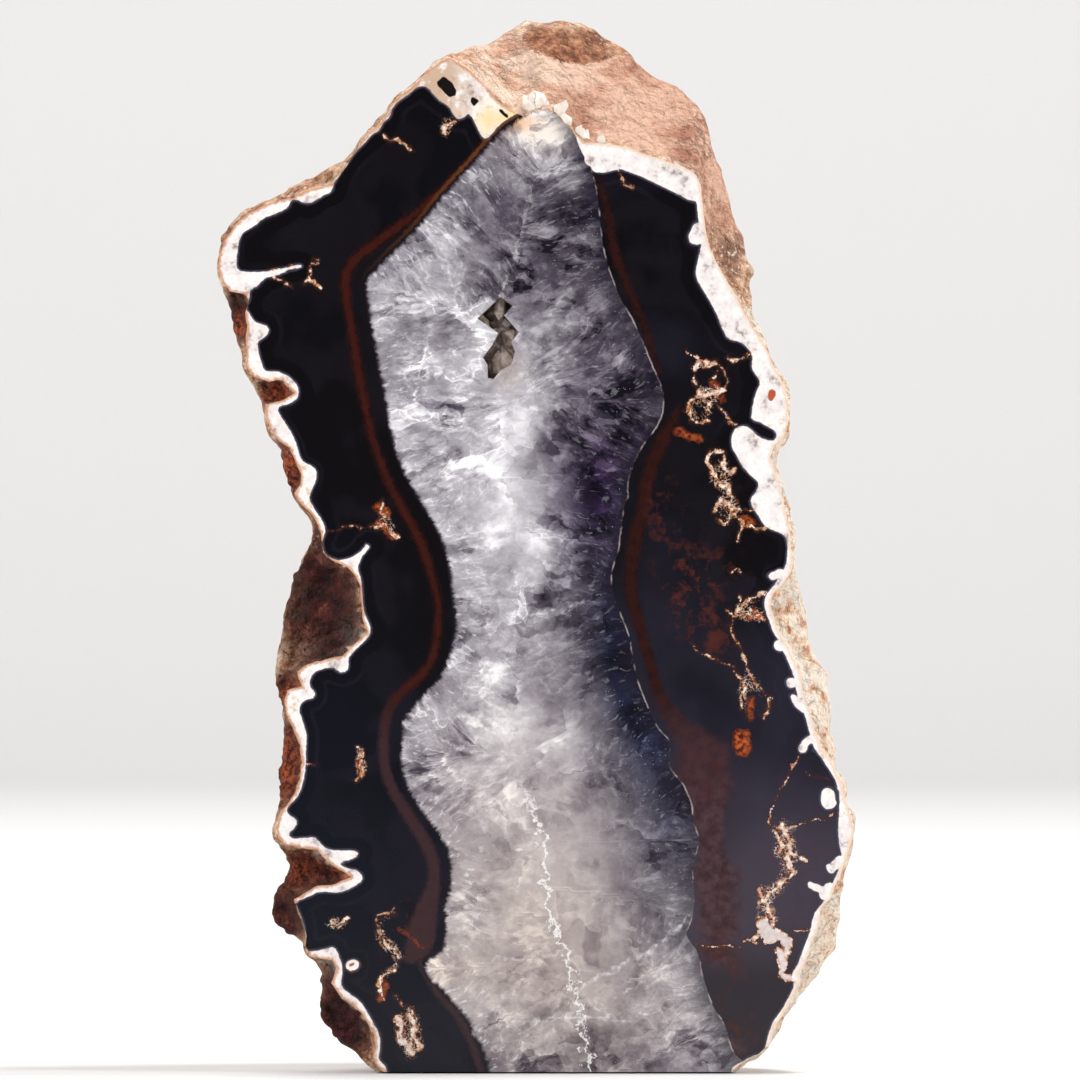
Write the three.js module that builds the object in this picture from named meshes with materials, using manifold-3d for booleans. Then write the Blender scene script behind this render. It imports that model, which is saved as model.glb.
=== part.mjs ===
// A standing agate geode: half of a lumpy nodule, sawn flat and polished in front, sawn flat below so that
// it stands, and left with its natural rind behind. A small hollow in the quartz is lined with crystals.
// Units are millimetres. +Z is up, the polished face looks along -Y, and the origin is under the middle.
import * as THREE from "three";
import { mergeVertices } from "three/addons/utils/BufferGeometryUtils.js";
import Module from "manifold-3d";

const wasm = await Module();
wasm.setup();

// Driving dimensions of the nodule
const SPINE_LOW = new THREE.Vector2(3, 40); // the middle line that the back bulges over, low end
const SPINE_HIGH = new THREE.Vector2(-4, 196); // and high end
const THICKNESS_LOW = 76; // polished face to the back's ridge at the spine's low end
const THICKNESS_MIDDLE = 84; // half way up it
const THICKNESS_HIGH = 62; // and at its high end
const SPINE_SHIFT = 9; // how far the ridge leans to the right
const BACK_RINGS = 17; // steps from the widest section to the ridge
const FINE_RINGS = 4; // of them keep every point of the outline, and the others every second one
const SOFTENING = 9; // how many neighbours the outline is evened out over by the time it reaches the ridge
const LEDGE_RINGS = 3; // steps from the polished edge to the widest section
const PLAIN_FLARE = 0.9; // how far the rind bulges past the polished edge where nothing is broken off
const PLAIN_DEPTH = 2.2; // and how far behind the face it does so
const RIDGE_STEPS = 22; // points along the ridge, where the two sides of the back meet

// The small hollow in the quartz
const HOLLOW_CENTRE = new THREE.Vector3(-8.6, 10, 183.6);
const HOLLOW_RADII = new THREE.Vector3(9, 8.5, 13.5);
const CRUST_GAP = 0.3; // keeps the crystal crust clear of the stone
const MOUTH_WALL = 6; // how deep the mouth's own flat walls go into the stone
const MOUTH_WALL_TAPER = 0.86; // its size there against its size at the face
const VOID_DEPTH = 15; // how deep the open middle of the crust goes
const VOID_TAPER = 0.5; // its size at the bottom against its size at the face

// Once round the polished face, clockwise seen from the front, starting under the left end of the base.
// A row is [x, z] of the polished edge. Where rind is broken away or a pocket opens beside the edge, the
// row goes on with [x, z] of the widest outline beside it and how far that lies behind the face.
const EDGE = [
  // left side, up to the open pocket at the base
  [-36.5, -0.5],
  [-40, 1.75, -41.5, 0.75, 2.5],
  [-40.75, 4, -45, 3.75, 4],
  [-40, 7, -48, 7.5, 6],
  [-40.25, 9.5, -51.5, 8.75, 7],
  [-42, 12, -52.5, 11, 7],
  [-43.75, 14.75, -54.5, 14.5, 7],
  [-46, 16.75, -54, 17.25, 6],
  [-48.5, 18.5, -53.5, 20.5, 5],
  [-51.25, 22.25, -53.25, 23, 3],
  [-49.5, 26, -54.5, 25.5, 4],
  [-51, 28, -55.5, 27.25, 4],
  [-56.5, 28.75],
  [-57.75, 31.5],
  // round lump of rind, then the forked pocket
  [-57.5, 33.75, -58.75, 33, 3],
  [-57.75, 36.25, -62, 33.75, 5],
  [-58.75, 39, -65.25, 36.25, 6],
  [-60, 41.5, -66.5, 40.5, 7],
  [-60.5, 43.25, -65.75, 44.75, 7],
  [-58.75, 44, -64.5, 46.5, 7],
  [-54.5, 46.5, -63, 47.75, 7],
  [-50.25, 47, -62.25, 48.5, 7],
  [-46.25, 48.75, -62, 49.75, 7],
  [-50, 51, -62, 51, 7],
  [-52.75, 53.25, -62, 52.25, 7],
  [-54.75, 55.5, -62.5, 53.75, 6],
  [-59, 56, -63.25, 55.25, 5],
  [-62.75, 56.75, -64, 56.75, 3],
  [-64.5, 58.5],
  [-65, 61],
  [-64.25, 63.75],
  // long thin pocket
  [-63, 66, -64.5, 66.5, 3],
  [-60.25, 69.5, -64.25, 69.75, 4],
  [-59, 73.5, -64.25, 73.5, 5],
  [-58.5, 77.5, -64, 77.5, 5],
  [-59, 81.75, -63.5, 81.75, 5],
  [-60.75, 86, -62.75, 86, 3],
  [-62.5, 89.5],
  [-63, 93],
  // the large pocket
  [-62.25, 95.5, -64.75, 95, 4],
  [-58.75, 96.5, -65, 97.25, 5],
  [-59.75, 99.75, -65.25, 100, 6],
  [-57.25, 101.75, -65.25, 102.5, 7],
  [-52.5, 103.25, -65, 104.75, 8],
  [-48.25, 104, -64.75, 106.25, 9],
  [-45.75, 106.5, -64, 108, 9],
  [-42.25, 110, -63.25, 110, 9],
  [-43.25, 113, -63.75, 112.5, 9],
  [-43.75, 116.75, -63, 115.5, 9],
  [-43.75, 121, -62, 118.75, 9],
  [-45, 124, -61.5, 121.5, 9],
  [-47.25, 126, -60.75, 124.25, 8],
  [-51, 128, -59.5, 126.5, 6],
  [-53.25, 130, -58, 128.5, 5],
  [-53.25, 132.5, -57, 131.5, 4],
  [-53.75, 134.5, -55.25, 133.75, 3],
  [-54.5, 137],
  [-56.5, 140],
  [-59, 142],
  [-60.5, 144.75],
  // three shallow pockets up the left edge
  [-58.75, 146.75, -62, 147.5, 3.5],
  [-58.5, 149.5, -62.75, 150.5, 4],
  [-60.25, 153, -63.25, 153.25, 4],
  [-61.5, 156, -64, 155.75, 3.5],
  [-64.25, 157.75],
  [-66.5, 161],
  [-67.5, 164.5],
  [-67.75, 167],
  [-64, 167.5, -68.5, 168, 4],
  [-60.25, 169.75, -69.25, 169.25, 4.5],
  [-63.25, 173, -70.5, 171, 4.5],
  [-66.75, 172.75, -71.25, 172.5, 4],
  [-70.25, 173.75, -72.25, 174.5, 3],
  [-72.5, 176.75],
  [-72.25, 180.5, -73.75, 180.5, 3],
  [-72.5, 183.5, -75, 183.75, 4],
  [-72.25, 186.75, -75.75, 186.75, 4],
  [-72.75, 190, -76.25, 189.75, 4],
  [-71.75, 192.25, -76.75, 192.25, 4],
  [-72.75, 194.5, -77.5, 194.25, 4],
  [-76.5, 195.25, -78.25, 196, 3],
  // left shoulder
  [-78.25, 197.75],
  [-79.5, 201],
  [-79, 205],
  [-77.5, 208.25],
  [-75.5, 211.5],
  [-72.25, 214.5],
  [-68.75, 216.5],
  [-64.75, 217.75],
  [-61, 218.5, -62, 220.75, 4],
  [-58, 220.25, -58.75, 222.75, 4],
  [-54, 221.25, -54.75, 224.5, 5],
  [-50.5, 222.5, -51.25, 226, 5],
  [-48.25, 225.25, -49, 227.25, 4],
  [-46.25, 228],
  [-44, 231.25],
  [-42, 234.5],
  [-39, 237],
  [-36, 240.75],
  [-33.25, 244.75],
  [-30, 247],
  [-27, 250.25],
  [-23.75, 252.75],
  // the slanting break over the top
  [-21.5, 253.5, -21.5, 255, 4],
  [-19, 252, -17.25, 255.25, 7],
  [-16.25, 250, -15.75, 257, 10],
  [-13, 246.5, -12, 257.25, 14],
  [-9.75, 243, -8.5, 259.25, 17],
  [-6.25, 240.25, -5.75, 262, 20],
  [-3, 238.75, -3, 264.25, 22],
  [-0.25, 240.5, 0.25, 263.75, 22],
  [3.25, 241, 3.75, 263.25, 22],
  [6.5, 238, 7.5, 263.5, 22],
  [9.5, 235, 11.25, 263.25, 23],
  [12, 232.5, 14.75, 262, 24],
  [16.25, 232, 18, 260.25, 24],
  [20, 231.75, 21.25, 258.25, 23],
  [23.75, 231, 23.75, 255.75, 22],
  [27.5, 229.25, 25.5, 253, 21],
  [31.25, 228, 28.25, 250.5, 20],
  [34.25, 227, 31, 248.75, 19],
  [37, 226.25, 34, 248, 18],
  [39, 225.25, 36.75, 246.25, 17],
  [40.25, 223.75, 39.25, 243.75, 16],
  [41, 222, 41.5, 240.75, 15],
  [41.25, 220, 43.25, 237, 14],
  [41.5, 217.5, 44, 233, 12],
  [41.75, 214.75, 44.75, 229, 11],
  [42.25, 211.75, 46.25, 225, 10],
  [42.75, 208.75, 47.75, 221, 9],
  [43.5, 206, 49, 216.5, 8.5],
  [44.75, 203.25, 50.5, 212, 8],
  [46.25, 200.5, 52.25, 207.5, 7.5],
  [47.75, 197.75, 53.5, 203.5, 7],
  [49.25, 195.25, 54.25, 199.5, 6],
  [50.75, 192.5, 54, 195.75, 5],
  [52.25, 189.5, 54.25, 192.25, 4],
  [54, 186.25, 55.25, 188.25, 3],
  // right side down to the waist
  [56.25, 183],
  [58, 180],
  [59.5, 176.5],
  [61.25, 173],
  [62.5, 169.5],
  [63, 166],
  [63, 162],
  [62, 158.75],
  [59.5, 156.5],
  [58.5, 153.75],
  [59.5, 150.5],
  [60.75, 147],
  [61.75, 143.5],
  [62.5, 140],
  [63.25, 136],
  [63.75, 131.75],
  [64, 128.5],
  // strip of bare rind on the right
  [64, 125.25, 65.25, 124.75, 3],
  [62, 122.25, 66, 121.5, 4.5],
  [59.25, 119.5, 66.25, 118.5, 6],
  [58.5, 116.5, 67.25, 115, 6.5],
  [59.75, 113, 68, 111.25, 6.5],
  [61, 109.5, 68.5, 107.75, 6],
  [62.75, 106.75, 69.75, 104.75, 6],
  [64.25, 103.5, 71.5, 101.75, 6],
  [65.75, 100.25, 72.75, 98.25, 6],
  [66.5, 96.5, 73.25, 94.5, 5.5],
  [67.5, 92.5, 73.5, 90.75, 5],
  [69, 88.5, 74.25, 87, 5],
  [70, 84.5, 74.5, 83.25, 4.5],
  [71.25, 80.75, 74.75, 79.75, 4],
  [73.5, 78, 75, 77.25, 3],
  [74.75, 75.25],
  [76.5, 72],
  [77, 68.25],
  [78.5, 64.25],
  [79.25, 60],
  [78.5, 56.5],
  [77.25, 53],
  [76, 49.25],
  // second strip, and down to the base
  [74.75, 46.25, 76, 45.75, 2.5],
  [73.5, 43.25, 76.5, 42.75, 4],
  [71.25, 40.75, 76.75, 39.5, 5],
  [70.75, 37.25, 76.5, 35.75, 5.5],
  [69.5, 33.75, 75.5, 31.75, 5.5],
  [68.25, 30.5, 74, 28, 5.5],
  [67.25, 27.5, 71.75, 25.25, 5],
  [66, 25, 70, 23, 4],
  [66, 22.5, 68, 20.75, 3],
  [64.5, 19.5],
  [62.75, 16],
  [60.5, 13],
  [59.25, 10],
  [58.5, 7],
  [55.75, 4.5],
  [52.5, 2.75],
  [49.5, 0.75],
  // under the base, where the saw takes it off
  [45, -2.5],
  [38, -6],
  [29, -8],
  [19, -9],
  [9, -10],
  [-2, -10],
  [-13, -9],
  [-23, -7.5],
  [-31, -5],
];

// The mouth of the hollow, a zigzag between crystal faces
const MOUTH = [
  [-8, 194],
  [-4.75, 191.75],
  [-7, 189.25],
  [-3.25, 185],
  [-5.25, 182.5],
  [-4.25, 180],
  [-5.25, 176.75],
  [-8, 175.25],
  [-9.75, 173],
  [-11.25, 173.25],
  [-11.25, 176.5],
  [-12.5, 178.5],
  [-10.25, 181.5],
  [-8.5, 184.75],
  [-14, 188.5],
];

// Crystals standing in the hollow: [x, z] of the foot, its depth, the tip's [x, z] and depth, and the width
const CRYSTALS = [
  [-15.5, 181, 8.5, -9.6, 182.5, 4.5, 4.2],
  [-1.5, 188.5, 9, -7.4, 187, 5.5, 4.6],
  [-12.5, 193, 9, -9.6, 188.8, 6, 3.8],
  [-3, 179, 10, -8.2, 179.2, 6.5, 4.2],
  [-13.5, 176, 10, -9.2, 177.2, 7, 3.6],
  [-8.5, 184, 14, -8, 183.4, 8, 5],
];

// Smooth value noise in space, from -1 to 1, the same on each run
function latticeValue(ix, iy, iz) {
  const mixed = Math.sin(ix * 127.1 + iy * 311.7 + iz * 74.7) * 43758.5453;
  return (mixed - Math.floor(mixed)) * 2 - 1;
}

function noise(x, y, z) {
  const [ix, iy, iz] = [x, y, z].map(Math.floor);
  const ease = (v) => v * v * (3 - 2 * v);
  const [fx, fy, fz] = [x - ix, y - iy, z - iz].map(ease);
  const mix = THREE.MathUtils.lerp;
  const row = (dy, dz) =>
    mix(
      latticeValue(ix, iy + dy, iz + dz),
      latticeValue(ix + 1, iy + dy, iz + dz),
      fx,
    );
  return mix(mix(row(0, 0), row(1, 0), fy), mix(row(0, 1), row(1, 1), fy), fz);
}

// Lumps and pits of the rind at a place: three sizes of noise added, in millimetres
function rindRelief(x, y, z) {
  const boulder = 4.6 * noise(x / 36, y / 36, z / 36);
  const lump = 3 * noise(x / 17 + 7, y / 17, z / 17);
  const pit = 1.5 * noise(x / 8, y / 8 + 5, z / 8);
  return boulder + lump + pit;
}

// The stations once round the stone: polished edge, widest outline beside it and that outline's depth
function stations() {
  const count = EDGE.length;
  return EDGE.map((row, i) => {
    const face = new THREE.Vector2(row[0], row[1]);
    if (row.length > 2)
      return {
        face,
        rim: new THREE.Vector2(row[2], row[3]),
        depth: row[4],
        broken: true,
      };
    const before = EDGE[(i + count - 1) % count];
    const after = EDGE[(i + 1) % count];
    const along = new THREE.Vector2(
      after[0] - before[0],
      after[1] - before[1],
    ).normalize();
    const outward = new THREE.Vector2(-along.y, along.x);
    const rim = face.clone().addScaledVector(outward, PLAIN_FLARE);
    return { face, rim, depth: PLAIN_DEPTH, broken: false };
  });
}

// A point between the polished edge and the widest outline. Pockets on the left are hollowed, and the
// break over the top and the strips on the right run straight back.
function ledgePoint(station, share) {
  const { face, rim, depth, broken } = station;
  const at = face.clone().lerp(rim, share);
  const width = face.distanceTo(rim);
  const pocket = broken && face.x < 0 && face.y < 198;
  const fall = pocket ? Math.sqrt(share) : share;
  const bowl = pocket ? 0.16 * width * Math.sin(Math.PI * share) : 0;
  const rough =
    0.07 * width * noise(at.x / 5, 3, at.y / 5) * Math.sin(Math.PI * share);
  return new THREE.Vector3(at.x, depth * fall + bowl + rough, at.y);
}

// A closed run of values, each evened out with its neighbours on both sides by a bell curve
function softened(values, spread) {
  if (spread < 0.3) return values;
  const reach = Math.ceil(spread * 2.5);
  return values.map((_, i) => {
    let [sum, weights] = [0, 0];
    for (let k = -reach; k <= reach; k++) {
      const weight = Math.exp((-k * k) / (2 * spread * spread));
      sum += weight * values[(i + k + values.length * 4) % values.length];
      weights += weight;
    }
    return sum / weights;
  });
}

// Thickness of the stone at a share of the way up the spine
function thicknessAt(along) {
  const low = THREE.MathUtils.lerp(THICKNESS_LOW, THICKNESS_MIDDLE, along * 2);
  const high = THREE.MathUtils.lerp(
    THICKNESS_MIDDLE,
    THICKNESS_HIGH,
    along * 2 - 1,
  );
  const blend = THREE.MathUtils.smoothstep(along, 0.25, 0.75);
  return THREE.MathUtils.lerp(low, high, blend);
}

// How far up the spine a point of the outline lies, from 0 to 1
function spineShare(point) {
  const spine = SPINE_HIGH.clone().sub(SPINE_LOW);
  const share = point.clone().sub(SPINE_LOW).dot(spine) / spine.lengthSq();
  return THREE.MathUtils.clamp(share, 0, 1);
}

// The outline as it is by a share of the way round to the ridge, evened out more and more
function softOutline(round, share) {
  const spread = SOFTENING * Math.pow(share, 0.8);
  const evened = (pick) => softened(round.map(pick), spread);
  const xs = evened((s) => s.rim.x);
  const zs = evened((s) => s.rim.y);
  const depths = evened((s) => s.depth);
  return round.map((_, i) => ({
    rim: new THREE.Vector2(xs[i], zs[i]),
    depth: depths[i],
  }));
}

// One ring of the back, swung round from the widest outline towards the ridge
function backRing(outline, share) {
  const angle = (share * Math.PI) / 2;
  const inward = Math.pow(Math.cos(angle), 0.72);
  const backward = Math.pow(Math.sin(angle), 0.9);
  return outline.map(({ rim, depth }) => {
    const along = spineShare(rim);
    const middle = SPINE_LOW.clone().lerp(SPINE_HIGH, along);
    middle.x += SPINE_SHIFT * share;
    const at = middle.clone().lerp(rim, inward);
    const reach = thicknessAt(along) - depth;
    const y = depth + reach * backward;
    const outward = new THREE.Vector3(
      (at.x - middle.x) * inward,
      0.8 * reach * backward,
      (at.y - middle.y) * inward,
    ).normalize();
    // Near the widest outline the relief only goes inward, so that the outline keeps its place
    const relief = rindRelief(at.x, y, at.y) * Math.min(1, share * 4);
    const kept = share < 0.25 ? Math.min(relief, 0) : relief;
    return new THREE.Vector3(at.x, y, at.y).addScaledVector(outward, kept);
  });
}

// A point of the ridge, where the two sides of the back meet
function ridgePoint(along) {
  const middle = SPINE_LOW.clone().lerp(SPINE_HIGH, along);
  middle.x += SPINE_SHIFT;
  const thickness = thicknessAt(along);
  const relief = rindRelief(middle.x, thickness, middle.y);
  return new THREE.Vector3(middle.x, thickness + relief, middle.y);
}

// The step of the ridge that each point of a ring closes to: up the left side, then down the right
function ridgeSteps(outline) {
  const steps = outline.map(({ rim }) =>
    Math.round(spineShare(rim) * RIDGE_STEPS),
  );
  const top = steps.indexOf(RIDGE_STEPS);
  for (let i = 1; i < top; i++) steps[i] = Math.max(steps[i], steps[i - 1]);
  for (let i = top + 1; i < steps.length; i++)
    steps[i] = i > steps.lastIndexOf(RIDGE_STEPS)
      ? Math.min(steps[i], steps[i - 1])
      : RIDGE_STEPS;
  return steps;
}

function solidFrom(positions, triangles) {
  return new wasm.Manifold(
    new wasm.Mesh({
      numProp: 3,
      vertProperties: new Float32Array(positions),
      triVerts: new Uint32Array(triangles),
    }),
  );
}

// Triangles that close an outline in the plane of the face, each turned to look forward
function capOf(outline) {
  return THREE.ShapeUtils.triangulateShape(outline, []).map(([a, b, c]) => {
    const turned = THREE.ShapeUtils.area([outline[a], outline[b], outline[c]]);
    return turned > 0 ? [a, b, c] : [a, c, b];
  });
}

// A three.js geometry as a solid, its shared vertices merged first
function solidOf(geometry) {
  const bare = geometry.index ? geometry.toNonIndexed() : geometry.clone();
  bare.deleteAttribute("normal");
  bare.deleteAttribute("uv");
  const merged = mergeVertices(bare, 1e-4);
  return solidFrom(merged.attributes.position.array, merged.index.array);
}

function geometryOf(solid) {
  const mesh = solid.getMesh();
  const positions = new Float32Array(mesh.numVert * 3);
  for (let i = 0; i < mesh.numVert; i++) {
    const start = i * mesh.numProp;
    positions.set(mesh.vertProperties.subarray(start, start + 3), i * 3);
  }
  const geometry = new THREE.BufferGeometry();
  geometry.setAttribute("position", new THREE.BufferAttribute(positions, 3));
  geometry.setIndex(new THREE.BufferAttribute(new Uint32Array(mesh.triVerts), 1));
  geometry.computeVertexNormals();
  return geometry;
}

function boxSolid(low, high) {
  const size = high.clone().sub(low);
  const middle = low.clone().add(high).multiplyScalar(0.5);
  const box = new THREE.BoxGeometry(size.x, size.y, size.z);
  return solidOf(box.translate(middle.x, middle.y, middle.z));
}

// The nodule as rings of points from the polished face to the back, closed at both ends
function noduleSolid() {
  const round = stations();
  const rings = [];
  for (let i = 0; i <= LEDGE_RINGS; i++)
    rings.push(round.map((s) => ledgePoint(s, i / LEDGE_RINGS)));
  let outline = round;
  for (let i = 1; i < BACK_RINGS; i++) {
    outline = softOutline(round, i / BACK_RINGS);
    if (i > FINE_RINGS) outline = outline.filter((_, k) => k % 2 === 0);
    rings.push(backRing(outline, i / BACK_RINGS));
  }
  const starts = rings.map((_, r) =>
    rings.slice(0, r).reduce((sum, ring) => sum + ring.length, 0),
  );
  const positions = rings.flat().flatMap((p) => [p.x, p.y, p.z]);
  const triangles = [];
  for (let r = 0; r + 1 < rings.length; r++) {
    const [count, behind] = [rings[r].length, rings[r + 1].length];
    const at = (i) => starts[r] + (i % count);
    const back = (i) => starts[r + 1] + (i % behind);
    for (let i = 0; i < behind; i++) {
      if (count === behind) {
        triangles.push(at(i), at(i + 1), back(i));
        triangles.push(at(i + 1), back(i + 1), back(i));
      } else {
        const first = 2 * i;
        triangles.push(at(first), at(first + 1), back(i));
        triangles.push(at(first + 1), back(i + 1), back(i));
        triangles.push(at(first + 1), at(first + 2), back(i + 1));
      }
    }
  }
  for (const [a, b, c] of capOf(round.map((s) => s.face)))
    triangles.push(a, b, c);
  // The last ring closes to the ridge
  const steps = ridgeSteps(outline);
  const lastStart = starts[rings.length - 1];
  const ridgeStart = positions.length / 3;
  for (let i = 0; i <= RIDGE_STEPS; i++) {
    const p = ridgePoint(i / RIDGE_STEPS);
    positions.push(p.x, p.y, p.z);
  }
  for (let i = 0; i < steps.length; i++) {
    const next = (i + 1) % steps.length;
    triangles.push(lastStart + i, lastStart + next, ridgeStart + steps[i]);
    const way = Math.sign(steps[next] - steps[i]);
    for (let k = steps[i]; k !== steps[next]; k += way)
      triangles.push(lastStart + next, ridgeStart + k + way, ridgeStart + k);
  }
  return solidFrom(positions, triangles);
}

// The rounded room of the hollow, smaller by the given gap
function roomSolid(gap) {
  const ball = new THREE.IcosahedronGeometry(1, 3).scale(
    HOLLOW_RADII.x - gap,
    HOLLOW_RADII.y - gap,
    HOLLOW_RADII.z - gap,
  );
  return solidOf(
    ball.translate(HOLLOW_CENTRE.x, HOLLOW_CENTRE.y, HOLLOW_CENTRE.z),
  );
}

// A zigzag wedge from in front of the face to a depth, narrowing between flat walls
function mouthSolid(depth, taper) {
  const start = -1;
  const grown = 1 + ((1 - taper) * -start) / depth;
  const scaled = (size) =>
    MOUTH.map(
      ([x, z]) =>
        new THREE.Vector2(
          HOLLOW_CENTRE.x + (x - HOLLOW_CENTRE.x) * size,
          HOLLOW_CENTRE.z + (z - HOLLOW_CENTRE.z) * size,
        ),
    );
  const levels = [
    [scaled(grown), start],
    [scaled(taper), depth],
  ];
  const count = MOUTH.length;
  const positions = levels.flatMap(([ring, y]) =>
    ring.flatMap((p) => [p.x, y, p.y]),
  );
  const triangles = [];
  for (let i = 0; i < count; i++) {
    const next = (i + 1) % count;
    triangles.push(i, next, i + count, next, next + count, i + count);
  }
  for (const [a, b, c] of capOf(levels[0][0])) triangles.push(a, b, c);
  for (const [a, b, c] of capOf(levels[1][0]))
    triangles.push(a + count, c + count, b + count);
  return solidFrom(positions, triangles);
}

// One six-sided crystal with a pointed end, from its foot to its tip
function crystalSolid([footX, footZ, footDepth, tipX, tipZ, tipDepth, width]) {
  const foot = new THREE.Vector3(footX, footDepth, footZ);
  const tip = new THREE.Vector3(tipX, tipDepth, tipZ);
  const length = foot.distanceTo(tip);
  const point = 0.7 * width;
  const profile = [
    new THREE.Vector2(0, 0),
    new THREE.Vector2(width / 2, 0),
    new THREE.Vector2(width / 2, length - point),
    new THREE.Vector2(0, length),
  ];
  const shape = new THREE.LatheGeometry(profile, 6);
  const aim = new THREE.Quaternion().setFromUnitVectors(
    new THREE.Vector3(0, 1, 0),
    tip.clone().sub(foot).normalize(),
  );
  shape.applyQuaternion(aim);
  return solidOf(shape.translate(foot.x, foot.y, foot.z));
}

function stoneSolid() {
  const aboveBase = boxSolid(
    new THREE.Vector3(-200, -200, 0),
    new THREE.Vector3(200, 200, 400),
  );
  return noduleSolid()
    .intersect(aboveBase)
    .subtract(roomSolid(0))
    .subtract(mouthSolid(MOUTH_WALL, MOUTH_WALL_TAPER));
}

// The crust fills the room round an open middle, and crystals stand into that
function crustSolid() {
  const lining = roomSolid(CRUST_GAP);
  const crystals = CRYSTALS.map(crystalSolid)
    .reduce((all, one) => all.add(one))
    .intersect(lining);
  return lining.subtract(mouthSolid(VOID_DEPTH, VOID_TAPER)).add(crystals);
}

const stone = new THREE.Mesh(
  geometryOf(stoneSolid()),
  new THREE.MeshStandardMaterial({
    color: 0x3a2e30,
    roughness: 0.55,
    metalness: 0,
  }),
);
stone.name = "agate_geode";

const crust = new THREE.Mesh(
  geometryOf(crustSolid()),
  new THREE.MeshStandardMaterial({
    color: 0xa8a2a4,
    roughness: 0.25,
    metalness: 0,
  }),
);
crust.name = "crystal_crust";

// The origin goes to the base, under the middle of the stone
const size = new THREE.Box3().setFromBufferAttribute(
  stone.geometry.getAttribute("position"),
);
const middle = size.getCenter(new THREE.Vector3());

const geode = new THREE.Group();
geode.name = "geode";
geode.add(stone, crust);
geode.position.set(-middle.x, -middle.y, -size.min.z);

export default geode;
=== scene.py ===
import math

import bpy
import numpy as np
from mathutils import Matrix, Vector, geometry


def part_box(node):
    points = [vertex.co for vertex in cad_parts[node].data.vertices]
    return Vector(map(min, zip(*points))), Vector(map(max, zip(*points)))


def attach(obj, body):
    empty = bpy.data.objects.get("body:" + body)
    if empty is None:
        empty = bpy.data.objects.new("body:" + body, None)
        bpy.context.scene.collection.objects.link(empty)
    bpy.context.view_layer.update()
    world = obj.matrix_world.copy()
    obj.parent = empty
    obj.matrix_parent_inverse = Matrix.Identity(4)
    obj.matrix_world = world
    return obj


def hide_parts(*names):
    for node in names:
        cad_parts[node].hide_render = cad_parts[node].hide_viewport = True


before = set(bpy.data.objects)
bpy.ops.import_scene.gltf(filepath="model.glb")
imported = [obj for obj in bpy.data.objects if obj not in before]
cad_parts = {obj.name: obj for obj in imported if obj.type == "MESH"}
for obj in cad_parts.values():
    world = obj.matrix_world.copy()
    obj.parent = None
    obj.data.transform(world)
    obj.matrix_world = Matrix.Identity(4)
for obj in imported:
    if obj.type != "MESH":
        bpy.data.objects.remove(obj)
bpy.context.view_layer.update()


# CAMERA AND LIGHT. The stone is seen level and square on to its polished face, from far off with a
# long lens. Soft lamps stand high on both sides and above, where the polished face doesn't mirror
# them to the camera.
MM = 1000  # millimetres in a metre
PHOTO_SIDE = 1080  # pixels of the photograph's side
PHOTO_SCALE = 0.00025  # metres of the stone to a pixel
PHOTO_MIDDLE = 532.5  # the pixel column that the stone was drawn about
PHOTO_GROUND = 1072  # the pixel row of the sawn base
EDGE_LEFT = 0.0795  # how far left of that column the polished edge reaches
CAMERA_DISTANCE = 4
SENSOR = 36  # millimetres

stone_low, stone_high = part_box("agate_geode")
face_y = stone_low.y
face_shift = stone_low.x + EDGE_LEFT


def across(column):
    return (column - PHOTO_MIDDLE) * PHOTO_SCALE + face_shift


def height(row):
    return (PHOTO_GROUND - row) * PHOTO_SCALE


view_centre = Vector((across(PHOTO_SIDE / 2), face_y, height(PHOTO_SIDE / 2)))
bpy.ops.object.select_all(action="DESELECT")
bpy.ops.object.camera_add(
    location=view_centre - Vector((0, CAMERA_DISTANCE, 0)),
    rotation=(math.pi / 2, 0, 0),
)
camera = bpy.context.object
camera.data.sensor_width = SENSOR
camera.data.lens = SENSOR * CAMERA_DISTANCE / (PHOTO_SIDE * PHOTO_SCALE)
bpy.context.scene.camera = camera
bpy.context.scene.view_settings.view_transform = "Standard"

STONE_MIDDLE = (0, 0, 0.14)
LAMPS = [
    # place, aim, width, watts
    ((-0.95, -0.6, 0.75), STONE_MIDDLE, 0.25, 11),
    ((1.0, -0.45, 0.6), STONE_MIDDLE, 0.25, 9),
    ((0.35, 0.05, 1.0), STONE_MIDDLE, 0.15, 6),
    ((-0.3, -1.6, 1.1), STONE_MIDDLE, 0.5, 4),
    ((0, 0.75, 1.3), STONE_MIDDLE, 0.8, 9),
    ((0, 1.5, 3.2), (0, 6, 1.2), 3, 230),
]
for place, target, width, watts in LAMPS:
    aim = (Vector(target) - Vector(place)).to_track_quat("-Z", "Y")
    bpy.ops.object.light_add(type="AREA", location=place, rotation=aim.to_euler())
    bpy.context.object.data.size = width
    bpy.context.object.data.energy = watts

world = bpy.data.worlds.new("studio")
bpy.context.scene.world = world
world.use_nodes = True
world.node_tree.nodes["Background"].inputs["Color"].default_value = (0.9, 0.93, 1, 1)
world.node_tree.nodes["Background"].inputs["Strength"].default_value = 0.16


# THE STONE. One nodule, sawn and polished in front, sawn flat below, with its rough rind behind.
# Its body is the CAD solid with finer lumps and pits, and its polished face is a fine flat mesh
# that carries the agate's bands, the quartz and the mineral veins as distances in millimetres.
def seen(pairs):
    """Places in the photograph, in millimetres across and up the polished face."""
    pairs = np.array(pairs, float)
    return np.stack([across(pairs[:, 0]), height(pairs[:, 1])], 1) * MM


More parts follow.
